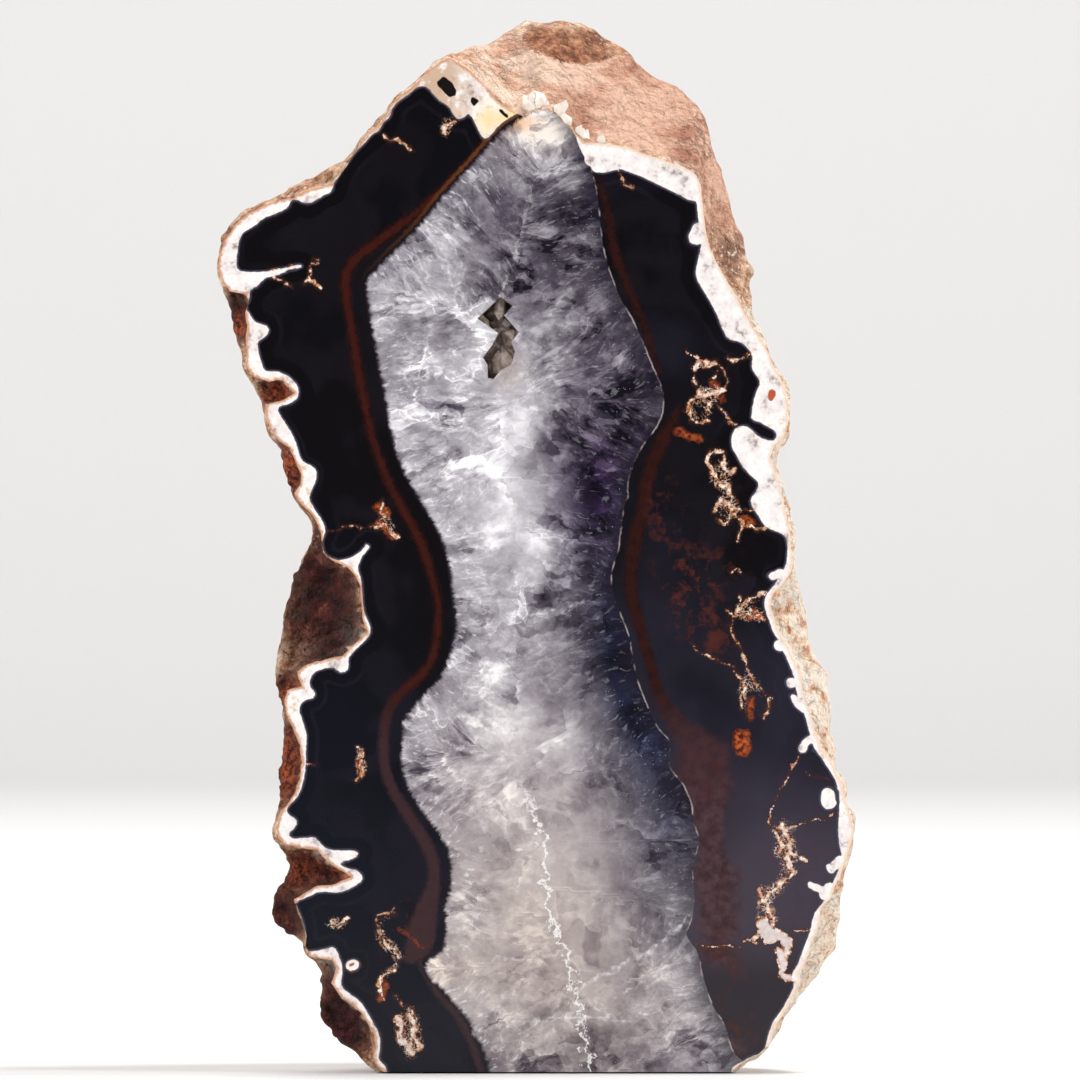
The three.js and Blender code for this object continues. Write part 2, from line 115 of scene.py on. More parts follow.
def rounded(chain, times=1, closed=False):
    """The same line with its corners cut."""
    for _ in range(times):
        a = chain if closed else chain[:-1]
        b = np.roll(chain, -1, 0) if closed else chain[1:]
        cut = np.stack([a * 0.75 + b * 0.25, a * 0.25 + b * 0.75], 1)
        cut = cut.reshape(-1, chain.shape[1])
        chain = cut if closed else np.concatenate([chain[:1], cut, chain[-1:]])
    return chain


def along_chain(places, chain, reach=None):
    """Each place's distance from a line, less the line's own half width, and how far along it."""
    reach = np.zeros(len(chain)) if reach is None else np.asarray(reach, float)
    nearest = np.full(len(places), 1e6)
    run = np.zeros(len(places))
    start = 0.0
    for k in range(len(chain) - 1):
        step = chain[k + 1] - chain[k]
        length = max(math.hypot(*step), 1e-9)
        share = np.clip((places - chain[k]) @ step / length**2, 0, 1)
        gap = np.hypot(*(places - chain[k] - share[:, None] * step).T)
        gap -= reach[k] + (reach[k + 1] - reach[k]) * share
        closer = gap < nearest
        nearest[closer] = gap[closer]
        run[closer] = start + share[closer] * length
        start += length
    return nearest, run


def inside(places, loop):
    """Which places lie inside a closed line."""
    found = np.zeros(len(places), bool)
    x, z = places.T
    for a, b in zip(loop, np.roll(loop, -1, 0)):
        crossed = (a[1] > z) != (b[1] > z)
        if crossed.any():
            at = a[0] + (z[crossed] - a[1]) * (b[0] - a[0]) / (b[1] - a[1])
            found[np.flatnonzero(crossed)[x[crossed] < at]] ^= True
    return found


# The outline where the dark agate meets its white border, up the left side and down the right
AGATE_LEFT = [
    (388, 1068), (378, 1060), (380, 1050), (380, 1036), (374, 1024), (367, 1012), (361, 1002),
    (350, 994), (341, 987), (341, 980), (343, 970), (340, 958), (334, 946), (326, 949), (310, 952),
    (303, 950), (302, 940), (305, 928), (299, 912), (294, 902), (308, 897), (320, 891), (338, 893),
    (350, 889), (364, 880), (360, 871), (345, 868), (337, 862), (352, 860), (360, 853), (352, 850),
    (335, 851), (325, 848), (319, 842), (315, 837), (303, 838), (293, 839), (287, 834), (295, 828),
    (298, 820), (290, 816), (286, 812), (288, 806), (297, 798), (303, 785), (306, 765), (306, 745),
    (307, 735), (303, 722), (298, 708), (304, 700), (315, 698), (315, 692), (309, 686), (311, 675),
    (320, 669), (335, 667), (338, 672), (344, 673), (349, 668), (348, 660), (350, 655), (357, 648),
    (366, 640), (371, 632), (370, 625), (365, 615), (363, 605), (362, 590), (361, 578), (357, 568),
    (361, 558), (367, 547), (357, 554), (351, 558), (343, 560), (335, 560), (325, 555), (322, 545),
    (323, 538), (326, 530), (322, 520), (315, 510), (309, 500), (311, 490), (317, 480), (316, 468),
    (307, 464), (301, 460), (298, 450), (295, 440), (290, 430), (283, 420), (277, 410), (279, 406),
    (290, 404), (298, 398), (299, 388), (293, 380), (285, 374), (275, 371), (265, 372), (261, 362),
    (258, 350), (257, 342), (265, 337), (270, 331), (266, 325), (255, 323), (249, 313), (245, 307),
    (250, 298), (249, 290), (258, 286), (264, 278), (275, 276), (290, 270), (280, 270), (262, 272),
    (245, 272), (236, 270), (237, 255), (239, 240), (243, 232), (255, 226), (263, 218), (275, 214),
    (288, 208), (291, 200), (297, 199), (303, 203), (312, 203), (322, 196), (332, 192), (333, 185),
    (340, 173), (348, 162), (357, 150), (365, 143), (372, 134), (380, 130), (383, 122), (390, 118),
    (392, 108), (400, 100), (408, 95), (418, 86), (427, 86), (433, 94), (440, 101), (449, 106),
    (453, 114), (458, 120), (465, 117), (470, 112), (478, 130), (485, 142),
]
AGATE_TOP = [(500, 124), (512, 116), (521, 112), (540, 106), (560, 116), (575, 133), (580, 150)]
AGATE_RIGHT = [
    (590, 165), (593, 172), (605, 173), (617, 168), (630, 172), (645, 178), (665, 188), (680, 195),
    (690, 201), (697, 200), (698, 215), (699, 225), (703, 236), (701, 247), (698, 260), (695, 275),
    (700, 285), (708, 298), (716, 312), (722, 328), (728, 340), (740, 341), (750, 350), (753, 358),
    (751, 368), (757, 376), (761, 382), (755, 395), (752, 410), (751, 420), (760, 422), (770, 428),
    (777, 432), (776, 440), (770, 441), (760, 438), (752, 430), (745, 425), (735, 428), (731, 438),
    (732, 448), (737, 456), (742, 466), (750, 475), (760, 483), (756, 492), (750, 500), (752, 507),
    (758, 515), (765, 527), (778, 532), (785, 535), (788, 545), (787, 560), (785, 568), (774, 586),
    (768, 592), (764, 600), (765, 610), (769, 620), (773, 632), (780, 642), (785, 655), (791, 668),
    (795, 680), (797, 695), (803, 710), (807, 722), (811, 738), (815, 750), (821, 757), (826, 765),
    (831, 772), (838, 785), (840, 800), (839, 815), (838, 830), (839, 842), (842, 855), (840, 868),
    (835, 878), (832, 885), (830, 893), (821, 905), (813, 915), (811, 930), (805, 945), (800, 958),
    (797, 967), (791, 975), (795, 985), (789, 997), (782, 1010), (774, 1020), (769, 1032),
    (766, 1045), (763, 1053), (750, 1057), (742, 1062), (730, 1068), (730, 1100), (388, 1100),
]
# The quartz's walls, top to bottom
QUARTZ_LEFT = [
    (545, 92), (520, 117), (505, 125), (490, 140), (478, 155), (462, 172), (450, 185), (437, 200),
    (420, 222), (403, 240), (390, 252), (375, 268), (365, 277), (364, 290), (367, 310), (370, 330),
    (374, 350), (377, 370), (382, 390), (385, 410), (388, 430), (393, 450), (400, 470), (410, 487),
    (420, 505), (430, 520), (440, 540), (446, 560), (449, 580), (451, 600), (455, 620), (452, 640),
    (446, 660), (437, 680), (425, 690), (416, 700), (408, 710), (400, 720), (400, 740), (398, 760),
    (402, 780), (412, 800), (425, 820), (441, 840), (449, 860), (449, 880), (445, 900), (442, 905),
    (444, 920), (443, 940), (440, 950), (425, 958), (422, 972), (430, 982), (440, 990), (450, 1002),
    (460, 1013), (468, 1025), (470, 1033), (478, 1045), (484, 1058), (487, 1072), (490, 1090),
]
QUARTZ_RIGHT = [
    (565, 100), (578, 142), (585, 150), (588, 160), (592, 172), (597, 190), (599, 210), (601, 230),
    (603, 245), (606, 260), (611, 275), (616, 288), (621, 300), (627, 310), (634, 322), (640, 335),
    (645, 347), (650, 360), (655, 372), (660, 382), (664, 395), (663, 415), (655, 430), (643, 445),
    (635, 460), (629, 475), (627, 490), (629, 497), (624, 505), (623, 520), (620, 535), (619, 550),
    (615, 560), (612, 570), (611, 582), (613, 592), (617, 605), (623, 620), (628, 632), (631, 645),
    (633, 660), (636, 675), (640, 688), (645, 700), (650, 712), (656, 725), (664, 735), (672, 742),
    (668, 765), (675, 775), (683, 783), (688, 795), (692, 803), (693, 820), (697, 832), (700, 840),
    (696, 855), (692, 868), (693, 878), (695, 900), (692, 920), (685, 933), (690, 942), (697, 950),
    (700, 962), (702, 975), (706, 985), (710, 1000), (715, 1010), (722, 1020), (727, 1030),
    (730, 1045), (735, 1055), (742, 1060), (746, 1090),
]
# Where the crystals that grew from both walls meet
SEAM = [
    (545, 90), (530, 170), (532, 200), (520, 235), (512, 270), (500, 296), (505, 330), (500, 385),
    (510, 420), (508, 470), (512, 520), (520, 560), (515, 640), (518, 680), (515, 740), (520, 780),
    (528, 800), (540, 825), (545, 870), (548, 900), (555, 930), (565, 950), (572, 980), (575, 1010),
    (585, 1040), (590, 1068), (592, 1090),
]
# Red-brown bands beside the quartz: a pixel place and the half width there, in millimetres
RED_BANDS = [
    [
        (485, 142, 1.2), (470, 160, 1.4), (440, 192, 1.6), (410, 218, 1.8), (380, 240, 2),
        (355, 258, 2.1), (345, 275, 2), (346, 300, 1.9), (350, 320, 1.9), (354, 345, 1.9),
        (358, 370, 1.9), (364, 400, 1.8), (370, 430, 1.8), (378, 455, 1.8), (388, 480, 1.8),
        (400, 505, 1.8), (412, 525, 1.9), (422, 545, 1.9), (430, 570, 1.8), (436, 590, 1.7),
        (439, 610, 1.6), (438, 630, 1.7), (434, 655, 1.8), (427, 670, 1.9), (410, 685, 2),
        (395, 698, 2), (386, 715, 1.8), (383, 740, 1.7), (385, 770, 1.8), (392, 790, 1.8),
        (405, 810, 1.9), (418, 830, 2), (430, 850, 2), (435, 870, 2), (433, 890, 2.2),
        (428, 905, 3), (423, 925, 4), (420, 945, 4), (410, 958, 2),
    ],
    [
        (418, 962, 1), (440, 998, 1.3), (455, 1012, 1.4), (466, 1030, 1.4), (474, 1048, 1.4),
        (482, 1075, 1.3),
    ],
    [
        (592, 165, 0.8), (603, 190, 1.4), (608, 215, 1.6), (612, 240, 1.7), (618, 262, 1.7),
        (627, 285, 1.7), (636, 305, 1.6), (644, 325, 1.5), (650, 345, 1.5), (657, 365, 1.3),
        (661, 378, 0.8),
    ],
    [
        (680, 405, 1), (668, 430, 2.2), (655, 455, 2.4), (648, 475, 2.3), (645, 495, 2.2),
        (642, 515, 2.2), (635, 535, 2.4), (633, 555, 2.2), (630, 575, 2.2), (631, 595, 2.2),
        (638, 620, 2), (645, 645, 1.9), (652, 670, 1.9), (657, 690, 2), (665, 705, 2),
        (675, 720, 2.6), (690, 740, 5), (704, 757, 7.6), (708, 780, 7.4), (704, 803, 5.6),
        (707, 830, 4.4), (711, 852, 4.8), (716, 876, 6), (718, 900, 6), (716, 925, 5),
    ],
    [(705, 948, 2.4), (722, 955, 3.2), (733, 962, 2.2)],
    [(722, 1040, 1.8), (735, 1045, 2.6), (747, 1052, 2)],
]
# Pale tan and white mineral veins and lace in the agate: half widths in millimetres, then places
VEINS = [
    (0.35, [(383, 135), (390, 143), (396, 137), (404, 144), (413, 150)]),
    (0.9, [(443, 131), (444, 128)]),
    (0.35, [(444, 128), (449, 122), (456, 120)]),
    (0.3, [(317, 262), (310, 262), (309, 270), (309, 278), (306, 282), (312, 280), (321, 288)]),
    (0.3, [(245, 277), (262, 274), (276, 271), (290, 269)]),
    (0.3, [(272, 278), (282, 282), (290, 287)]),
    (0.5, [(381, 502), (379, 509), (382, 517)]),
    (0.5, [(376, 528), (384, 524), (390, 531), (397, 537)]),
    (0.04, [(325, 533), (338, 530), (350, 527), (364, 528), (376, 526)]),
    (0.35, [(355, 748), (365, 755), (360, 765), (362, 775), (355, 780)]),
    (0.16, [(302, 763), (309, 764), (316, 763)]),
    (0.3, [(330, 922), (338, 926), (348, 918)]),
    (0.35, [(396, 909), (388, 914), (380, 912), (374, 922), (378, 930), (382, 938), (388, 946),
            (395, 952), (401, 960), (398, 968), (388, 972), (380, 980), (378, 992), (384, 1000)]),
    (0.3, [(346, 965), (349, 960), (355, 960), (358, 965), (355, 970), (349, 970), (346, 965)]),
    (0.3, [(395, 995), (400, 1003), (410, 1010), (416, 1018)]),
    (0.8, [(398, 1020), (404, 1028), (400, 1036), (408, 1044), (413, 1054)]),
    (0.7, [(408, 1016), (416, 1026), (412, 1036), (420, 1048)]),
    (1.7, [(764, 924), (771, 938)]),
    (1.3, [(780, 953), (784, 964)]),
    (0.3, [(620, 168), (622, 178), (624, 187), (632, 187)]),
    (0.6, [(694, 371), (700, 362), (708, 366), (716, 363)]),
    (0.3, [(716, 363), (724, 370), (727, 380), (722, 388)]),
    (0.65, [(722, 388), (714, 394), (706, 396), (699, 391)]),
    (0.15, [(699, 391), (693, 381), (694, 371)]),
    (0.2, [(716, 364), (719, 372), (714, 378)]),
    (0.35, [(700, 362), (695, 356), (688, 351)]),
    (0.3, [(728, 357), (735, 362), (742, 358), (748, 355)]),
    (0.4, [(698, 396), (690, 402), (687, 411), (692, 420), (700, 425), (708, 420)]),
    (0.15, [(708, 420), (709, 410), (703, 402)]),
    (0.3, [(709, 404), (715, 400), (721, 410), (727, 420), (735, 425)]),
    (0.6, [(712, 452), (720, 450), (726, 458), (722, 466), (729, 473), (735, 470)]),
    (0.45, [(712, 452), (707, 462), (712, 470), (716, 480), (724, 486), (731, 482), (728, 492),
            (734, 498)]),
    (0.55, [(714, 513), (716, 506), (724, 502), (731, 507)]),
    (0.3, [(731, 507), (732, 516), (726, 522), (717, 519)]),
    (0.35, [(732, 512), (740, 509), (750, 511), (760, 508)]),
    (0.4, [(731, 515), (738, 518), (745, 525), (741, 532), (737, 540)]),
    (0.35, [(760, 508), (764, 516), (768, 524), (760, 528), (750, 526)]),
    (0.5, [(735, 617), (742, 608), (750, 600), (763, 592)]),
    (0.45, [(735, 617), (746, 616), (756, 614), (765, 618)]),
    (0.3, [(735, 617), (738, 606), (740, 595)]),
    (0.3, [(735, 617), (731, 613), (727, 610)]),
    (0.25, [(733, 575), (738, 569), (742, 574)]),
    (0.3, [(735, 617), (732, 626), (732, 635), (736, 641), (740, 648), (744, 658), (748, 668), (752, 676),
           (753, 683), (759, 688), (765, 692), (770, 700), (767, 709), (762, 718)]),
    (0.3, [(735, 672), (741, 678), (745, 685), (742, 697), (740, 710)]),
    (0.2, [(690, 640), (700, 653), (716, 661), (735, 668)]),
    (0.18, [(803, 750), (790, 770), (778, 792), (770, 812), (770, 822)]),
    (0.2, [(770, 823), (780, 826), (790, 828), (805, 822), (822, 818), (838, 814)]),
    (0.12, [(806, 772), (816, 777), (830, 781)]),
    (0.7, [(783, 825), (787, 836), (789, 848), (786, 858), (790, 866), (795, 870)]),
    (0.5, [(795, 870), (788, 876), (781, 884), (775, 890), (767, 896), (760, 903)]),
    (0.5, [(790, 855), (797, 857), (805, 860)]),
    (0.5, [(776, 832), (781, 842), (779, 852)]),
    (0.6, [(758, 890), (763, 900), (767, 912), (775, 920), (770, 928)]),
    (1.6, [(765, 932), (773, 935), (782, 938), (788, 944)]),
    (0.9, [(790, 945), (785, 953), (783, 960), (781, 970), (785, 978), (792, 976), (798, 972)]),
    (0.22, [(760, 942), (752, 940), (745, 940), (740, 947), (720, 946), (695, 945)]),
    (0.3, [(795, 930), (803, 930), (811, 929)]),
    (0.6, [(753, 938), (761, 934), (770, 938)]),
]
# White knobs and spurs that stand in from the border
KNOBS = [
    (2, [(699, 231), (696, 237)]),
    (0.9, [(772, 577), (781, 573)]),
    (1.4, [(780, 645), (780.5, 645)]),
    (1.2, [(791, 683), (791.5, 683)]),
    (0.8, [(793, 697), (798, 705), (804, 709)]),
    (1, [(803, 749), (806, 742), (812, 738)]),
    (1.8, [(828, 796), (829, 802)]),
    (1.1, [(831, 868), (840, 860)]),
    (1.7, [(829, 889), (826, 893)]),
    (0.9, [(822, 890), (812, 885)]),
    (0.3, [(300, 266), (290, 269), (276, 271)]),
    (0.5, [(367, 546), (360, 555)]),
    (1.4, [(352, 965), (353, 965)]),
    (1.6, [(592, 160), (604, 165), (616, 163)]),
]
# Small orange-brown hearts: half widths in millimetres, then places
HEARTS = [(0.5, [(352, 965), (353, 965)]), (0.8, [(771, 392), (773, 399)]), (0.5, [(757, 617), (760, 615)])]
# Places where the veins spread into a fine network: pixel place and reach in millimetres
LACE = [
    (410, 1034, 3.5, 7), (785, 850, 3.5, 8), (709, 392, 3, 3), (722, 476, 3, 4.5), (729, 508, 3, 3),
    (446, 126, 2, 3), (750, 612, 4, 3), (750, 695, 3, 6), (388, 945, 3.5, 8), (768, 905, 4, 6),
    (360, 764, 1.6, 4), (386, 520, 2.5, 3), (335, 924, 3, 1.5), (700, 410, 3, 3),
]
# Bright fissures and healed cracks in the quartz: half widths in millimetres, then places
FISSURES = [
    (0, [(471, 1034), (500, 1025), (530, 1020), (560, 1018), (600, 1016), (628, 1022)]),
    (0.1, [(580, 990), (610, 972), (640, 957), (665, 940), (688, 918)]),
    (-0.1, [(612, 1000), (640, 985), (672, 962)]),
    (0, [(531, 616), (545, 611), (560, 613), (572, 606), (585, 602)]),
    (0.2, [(409, 403), (418, 412), (430, 425), (448, 430), (474, 429), (484, 438)]),
    (0.1, [(374, 307), (400, 306), (430, 303), (452, 312), (474, 325), (490, 332)]),
    (-0.2, [(531, 190), (526, 215), (518, 245), (512, 270), (500, 298)]),
    (0, [(403, 722), (425, 732), (450, 742), (480, 755), (512, 762)]),
    (-0.1, [(410, 778), (440, 772), (475, 768), (510, 764)]),
    (0.2, [(398, 372), (420, 366), (446, 372), (470, 380)]),
    (0.1, [(520, 178), (534, 172), (548, 176), (566, 164)]),
    (-0.1, [(430, 800), (470, 790), (505, 778)]),
    (-0.2, [(560, 350), (580, 362), (604, 372)]),
    (-0.1, [(478, 965), (510, 956), (540, 960)]),
]
# Small hollows in the pale border, which the flat face shows only as painted shade
SHADED_HOLES = [
    (1.4, [(444, 83), (451, 91)]),
    (0.9, [(474, 101), (476, 103)]),
    (0.5, [(502, 110), (507, 116)]),
]
# Orange-brown iron stains: half widths in millimetres, then places
STAINS = [
    (1.2, [(377, 506), (385, 512)]), (1, [(378, 524), (393, 535)]), (1, [(677, 432), (700, 440)]),
    (2.2, [(742, 737), (742, 748)]), (0.9, [(752, 700), (750, 718)]), (1.2, [(742, 520), (750, 524)]),
    (0.4, [(397, 929), (425, 948)]), (0.9, [(385, 985), (380, 1000)]), (1.2, [(768, 384), (771, 396)]),
    (0.7, [(712, 380), (724, 400)]), (0.5, [(360, 757), (358, 772)]), (0.9, [(755, 612), (748, 618)]),
]
# Clouds in the quartz: pixel place, reach across and up in millimetres, and how light each one is
CLOUDS = [
    (548, 128, 7, 5, 0.9), (555, 170, 3.5, 2.5, 0.7), (475, 190, 12, 9, 0.46), (430, 245, 12, 9, 0.56),
    (520, 225, 9, 12, 0.2), (580, 240, 7, 16, 0.02), (405, 305, 10, 9, 0.64), (440, 385, 15, 15, 0.72),
    (555, 330, 9, 9, 0.44), (550, 442, 7, 11, 0.56), (625, 385, 9, 10, 0.14), (509, 450, 9.5, 11.5, 0.97),
    (445, 480, 9, 10, 0.6), (583, 465, 9, 11, 0.22), (512, 532, 8.5, 10, 0.9), (465, 565, 8, 10, 0.62),
    (592, 555, 8, 13, 0.14), (500, 610, 14, 8, 0.6), (600, 665, 9, 14, 0.28), (480, 680, 12, 10, 0.64),
    (430, 745, 11, 9, 0.56), (515, 735, 11, 9, 0.84), (635, 790, 9, 14, 0.34), (540, 840, 16, 15, 0.76),
    (470, 870, 10, 14, 0.66), (660, 880, 8, 12, 0.42), (550, 950, 18, 16, 0.74), (698, 932, 6, 7, 0.95),
    (690, 1000, 9, 12, 0.62), (500, 1000, 16, 8, 0.72), (540, 1048, 26, 5, 0.38),
]
CLEAR = 0.55  # how light the quartz is away from them
CLEAR_WEIGHT = 0.12  # how much that counts between them
CLOUD_SOFTNESS = 1.15  # how much wider than its reach each cloud is
# Soft spots on the face, by what they change: pixel place, reach in millimetres, and strength
SPOTS = {
    "warm": [
        (520, 900, 34, 46, 0.8), (600, 1010, 34, 30, 0.5), (540, 130, 12, 6, 1), (440, 970, 10, 6, 0.5),
        (507, 370, 4, 5, 0.9),
    ],
    "night": [
        (672, 800, 12, 34, 1), (640, 700, 10, 20, 0.9), (622, 640, 10, 18, 0.8), (606, 540, 10, 26, 0.8),
        (640, 420, 12, 18, 0.7), (588, 485, 9, 15, 0.7),
    ],
    "calm": [
        (510, 890, 22, 34, 1), (590, 900, 15, 26, 0.8), (588, 700, 12, 24, 0.8), (515, 470, 8, 26, 0.9),
        (510, 740, 9, 9, 0.8),
    ],
    "plates": [
        (425, 390, 13, 20, 1), (430, 750, 12, 10, 0.9), (470, 320, 10, 10, 0.6), (550, 130, 8, 5, 0.9),
    ],
    "rust": [
        (690, 590, 9, 11, 0.9), (662, 510, 6, 12, 0.6), (735, 470, 10, 18, 0.3), (400, 930, 9, 12, 0.5),
        (702, 775, 12, 14, 0.5), (715, 640, 8, 6, 0.6), (750, 560, 10, 6, 0.35), (722, 960, 8, 16, 0.55),
        (745, 1030, 6, 8, 0.5),
    ],
    "gold": [(487, 120, 2.8, 4, 0.8), (520, 122, 4, 2.5, 0.7), (505, 117, 3, 2, 0.6)],
}


def spread(places, column, row, wide, tall):
    """How far each place is from a spot, squared, with the spot's edge at 1."""
    return (((places - seen([(column, row)])) / (wide, tall)) ** 2).sum(1)


def patches(places, spots):
    """Soft spots added up."""
    total = np.zeros(len(places))
    for *spot, strength in spots:
        total += strength * np.exp(-spread(places, *spot))
    return total


def lightness(places):
    """How light the quartz is: the clouds, blended by their nearness."""
    total, weights = np.full(len(places), CLEAR_WEIGHT * CLEAR), CLEAR_WEIGHT
    for column, row, wide, tall, level in CLOUDS:
        weight = np.exp(-spread(places, column, row, wide * CLOUD_SOFTNESS, tall * CLOUD_SOFTNESS))
        total, weights = total + weight * level, weights + weight
    return total / weights


FAR = 4.0  # millimetres, past which a drawn line's distance isn't needed


def strokes(places, lines):
    """Distance from a set of drawn lines, less their half widths."""
    nearest = np.full(len(places), FAR)
    for half, chain in lines:
        chain = rounded(seen(chain), 1)
        low, high = chain.min(0) - FAR, chain.max(0) + FAR
        near = np.flatnonzero(((places > low) & (places < high)).all(1))
        nearest[near] = np.minimum(nearest[near], along_chain(places[near], chain)[0] - half)
    return nearest


def pick(*pieces):
    """Selects these pieces alone, with the last as the active one."""
    bpy.ops.object.select_all(action="DESELECT")
    for piece in pieces:
        piece.select_set(True)
    bpy.context.view_layer.objects.active = pieces[-1]


def vertex_values(piece, kind="co"):
    """The places or the normals of a piece's vertices, a row to each."""
    values = np.empty(len(piece.data.vertices) * 3)
    piece.data.vertices.foreach_get(kind, values)
    return values.reshape(-1, 3)


def keep_field(piece, name, values):
    """Stores a number at each vertex, for the finish to read."""
    layer = piece.data.attributes.new(name, "FLOAT", "POINT")
    layer.data.foreach_set("value", values.astype(np.float32))


# The body: the CAD solid's skin without its polished face, base and hollow
stone = bpy.data.objects.new("stone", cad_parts["agate_geode"].data.copy())
bpy.context.collection.objects.link(stone)
pick(stone)
stone.data.materials.clear()
FLAT = 1e-5  # how near a sawn plane counts as on it, in metres
HOLLOW_MIDDLE = seen([(498, 338)])[0]
HOLLOW_REACH = 0.018  # metres

bpy.ops.object.mode_set(mode="EDIT")
bpy.ops.mesh.select_all(action="SELECT")
bpy.ops.mesh.remove_doubles(threshold=1e-6)
bpy.ops.mesh.select_all(action="DESELECT")
bpy.ops.object.mode_set(mode="OBJECT")
places = vertex_values(stone)
for polygon in stone.data.polygons:
    corners = places[list(polygon.vertices)]
    middle = corners.mean(0)
    hollow = (
        np.hypot(*(middle[[0, 2]] - HOLLOW_MIDDLE / MM)) < HOLLOW_REACH
        and middle[1] < face_y + HOLLOW_REACH * 1.2
    )
    sawn = (corners[:, 1] < face_y + FLAT).all() or (corners[:, 2] < FLAT).all()
    polygon.select = bool(hollow or sawn)
bpy.ops.object.mode_set(mode="EDIT")
bpy.ops.mesh.select_mode(type="FACE")
bpy.ops.mesh.delete(type="FACE")
bpy.ops.mesh.select_all(action="SELECT")
bpy.ops.mesh.tris_convert_to_quads(face_threshold=math.radians(70), shape_threshold=math.radians(70))
bpy.ops.mesh.subdivide(number_cuts=3)
bpy.ops.object.mode_set(mode="OBJECT")


def lattice(cell):
    """A repeatable value from -1 to 1 for each whole-numbered place."""
    mixed = (cell * np.array([127.1, 311.7, 74.7])).sum(-1)
    return np.modf(np.abs(np.sin(mixed) * 43758.5453))[0] * 2 - 1


def lumps(places, size, seed=0.0):
    """Smooth noise from -1 to 1 with lumps of about the given size."""
    at = places / size + seed
    cell = np.floor(at)
    part = at - cell
    part = part * part * (3 - 2 * part)
    total = np.zeros(len(places))
    for corner in np.ndindex(2, 2, 2):
        weight = np.prod(np.where(corner, part, 1 - part), axis=1)
        total += weight * lattice(cell + corner)
    return total


# Broken corners are eased first, then the rind gets its lumps, grains and pits
bpy.ops.object.mode_set(mode="EDIT")
bpy.ops.mesh.select_mode(type="VERT")
bpy.ops.mesh.select_all(action="DESELECT")
bpy.ops.mesh.select_non_manifold()
bpy.ops.mesh.select_all(action="INVERT")
bpy.ops.mesh.vertices_smooth(factor=0.5, repeat=5)
bpy.ops.mesh.select_all(action="DESELECT")
bpy.ops.object.mode_set(mode="OBJECT")

# Open pockets in the rind on the left: pixel place and reach across and up in millimetres
POCKETS = [
    (236, 318, 4, 8), (277, 392, 5, 4), (288, 467, 4.5, 7), (321, 611, 12.5, 19.5),
    (288, 690, 3.5, 6), (287, 765, 4.5, 11), (308, 872, 11, 6), (284, 912, 6, 8), (342, 1012, 9, 14),
]
# The orange-red spots in them
EMBERS = [
    (277, 392, 4, 3), (288, 467, 3.5, 6), (287, 765, 3.5, 9), (300, 870, 6, 4), (345, 868, 4, 3),
    (290, 700, 3, 5), (236, 330, 2, 4),
]
POCKET_DEPTH = 15  # millimetres back from the face
EMBER_DEPTH = 9
CREST = (580, 34, 17, 8)  # the brown crest: pixel place and reach


def pocket_share(co):
    """How far inside a pocket a place of the rind is, from 0 to 1."""
    share = np.zeros(len(co))
    behind = (co[:, 1] - face_y) * MM
    uneven = 0.22 * lumps(co * MM, 5, 91)
    for spot in POCKETS:
        out = np.sqrt(spread(co[:, [0, 2]] * MM, *spot) + (behind / POCKET_DEPTH) ** 4) + uneven
        share = np.maximum(share, 1 / (1 + np.exp((out - 1) * 8)))
    return share


# The flat break over the top, in millimetres: its foot, its middle, its left end and how far back it goes
BREAK_FOOT = 222
BREAK_MIDDLE = 15
BREAK_LEFT = -17
BREAK_BACK = 21


def slant_share(co):
    """How far a place is on the flat break, from 0 to 1."""
    behind = (co[:, 1] - face_y) * MM
    x, z = co[:, 0] * MM, co[:, 2] * MM
    rise = 1 / (1 + np.exp(-(z - BREAK_FOOT + 0.35 * np.abs(x - BREAK_MIDDLE)) / 2))
    return rise / (1 + np.exp((behind - BREAK_BACK) / 1.2)) / (1 + np.exp(-(x - BREAK_LEFT) / 2))


co = vertex_values(stone)
normals = vertex_values(stone, "normal")
on_face = co[:, 1] < face_y + FLAT
on_base = co[:, 2] < FLAT
mm = co * MM
from_planes = np.minimum(mm[:, 1] - face_y * MM, mm[:, 2])
fade = np.clip(from_planes / 2.5, 0, 1)
pocket = pocket_share(co)
slant = slant_share(co)
crest = np.exp(-spread(mm[:, [0, 2]], *CREST))
ridges = 1 - np.abs(lumps(mm, 8.5, 17)) * 2
rind = 0.5 * ridges + 0.6 * lumps(mm, 5, 1) + 0.5 * lumps(mm, 2.9, 5) + 0.3 * lumps(mm, 1.9, 9) - 0.3
pits = -1.6 * np.clip(lumps(mm, 5.2, 21) - 0.4, 0, 1)
grain = 1.5 * np.abs(lumps(mm, 4.4, 3)) + 1.1 * np.abs(lumps(mm, 2.3, 13)) - 0.9
steps = np.round(lumps(mm * (1, 1, 1.6), 11, 37) * 3 + 0.6 * lumps(mm, 3, 8)) / 3
flat_grain = 0.3 * lumps(mm, 2.4, 31) + 0.2 * lumps(mm, 1.7, 33) + 0.7 * steps
rough = (rind + pits) * (1 - pocket) + grain * pocket
rough = rough * (1 - slant) + (flat_grain + 0.4 * pits) * slant
co += normals * (rough * fade)[:, None] / MM
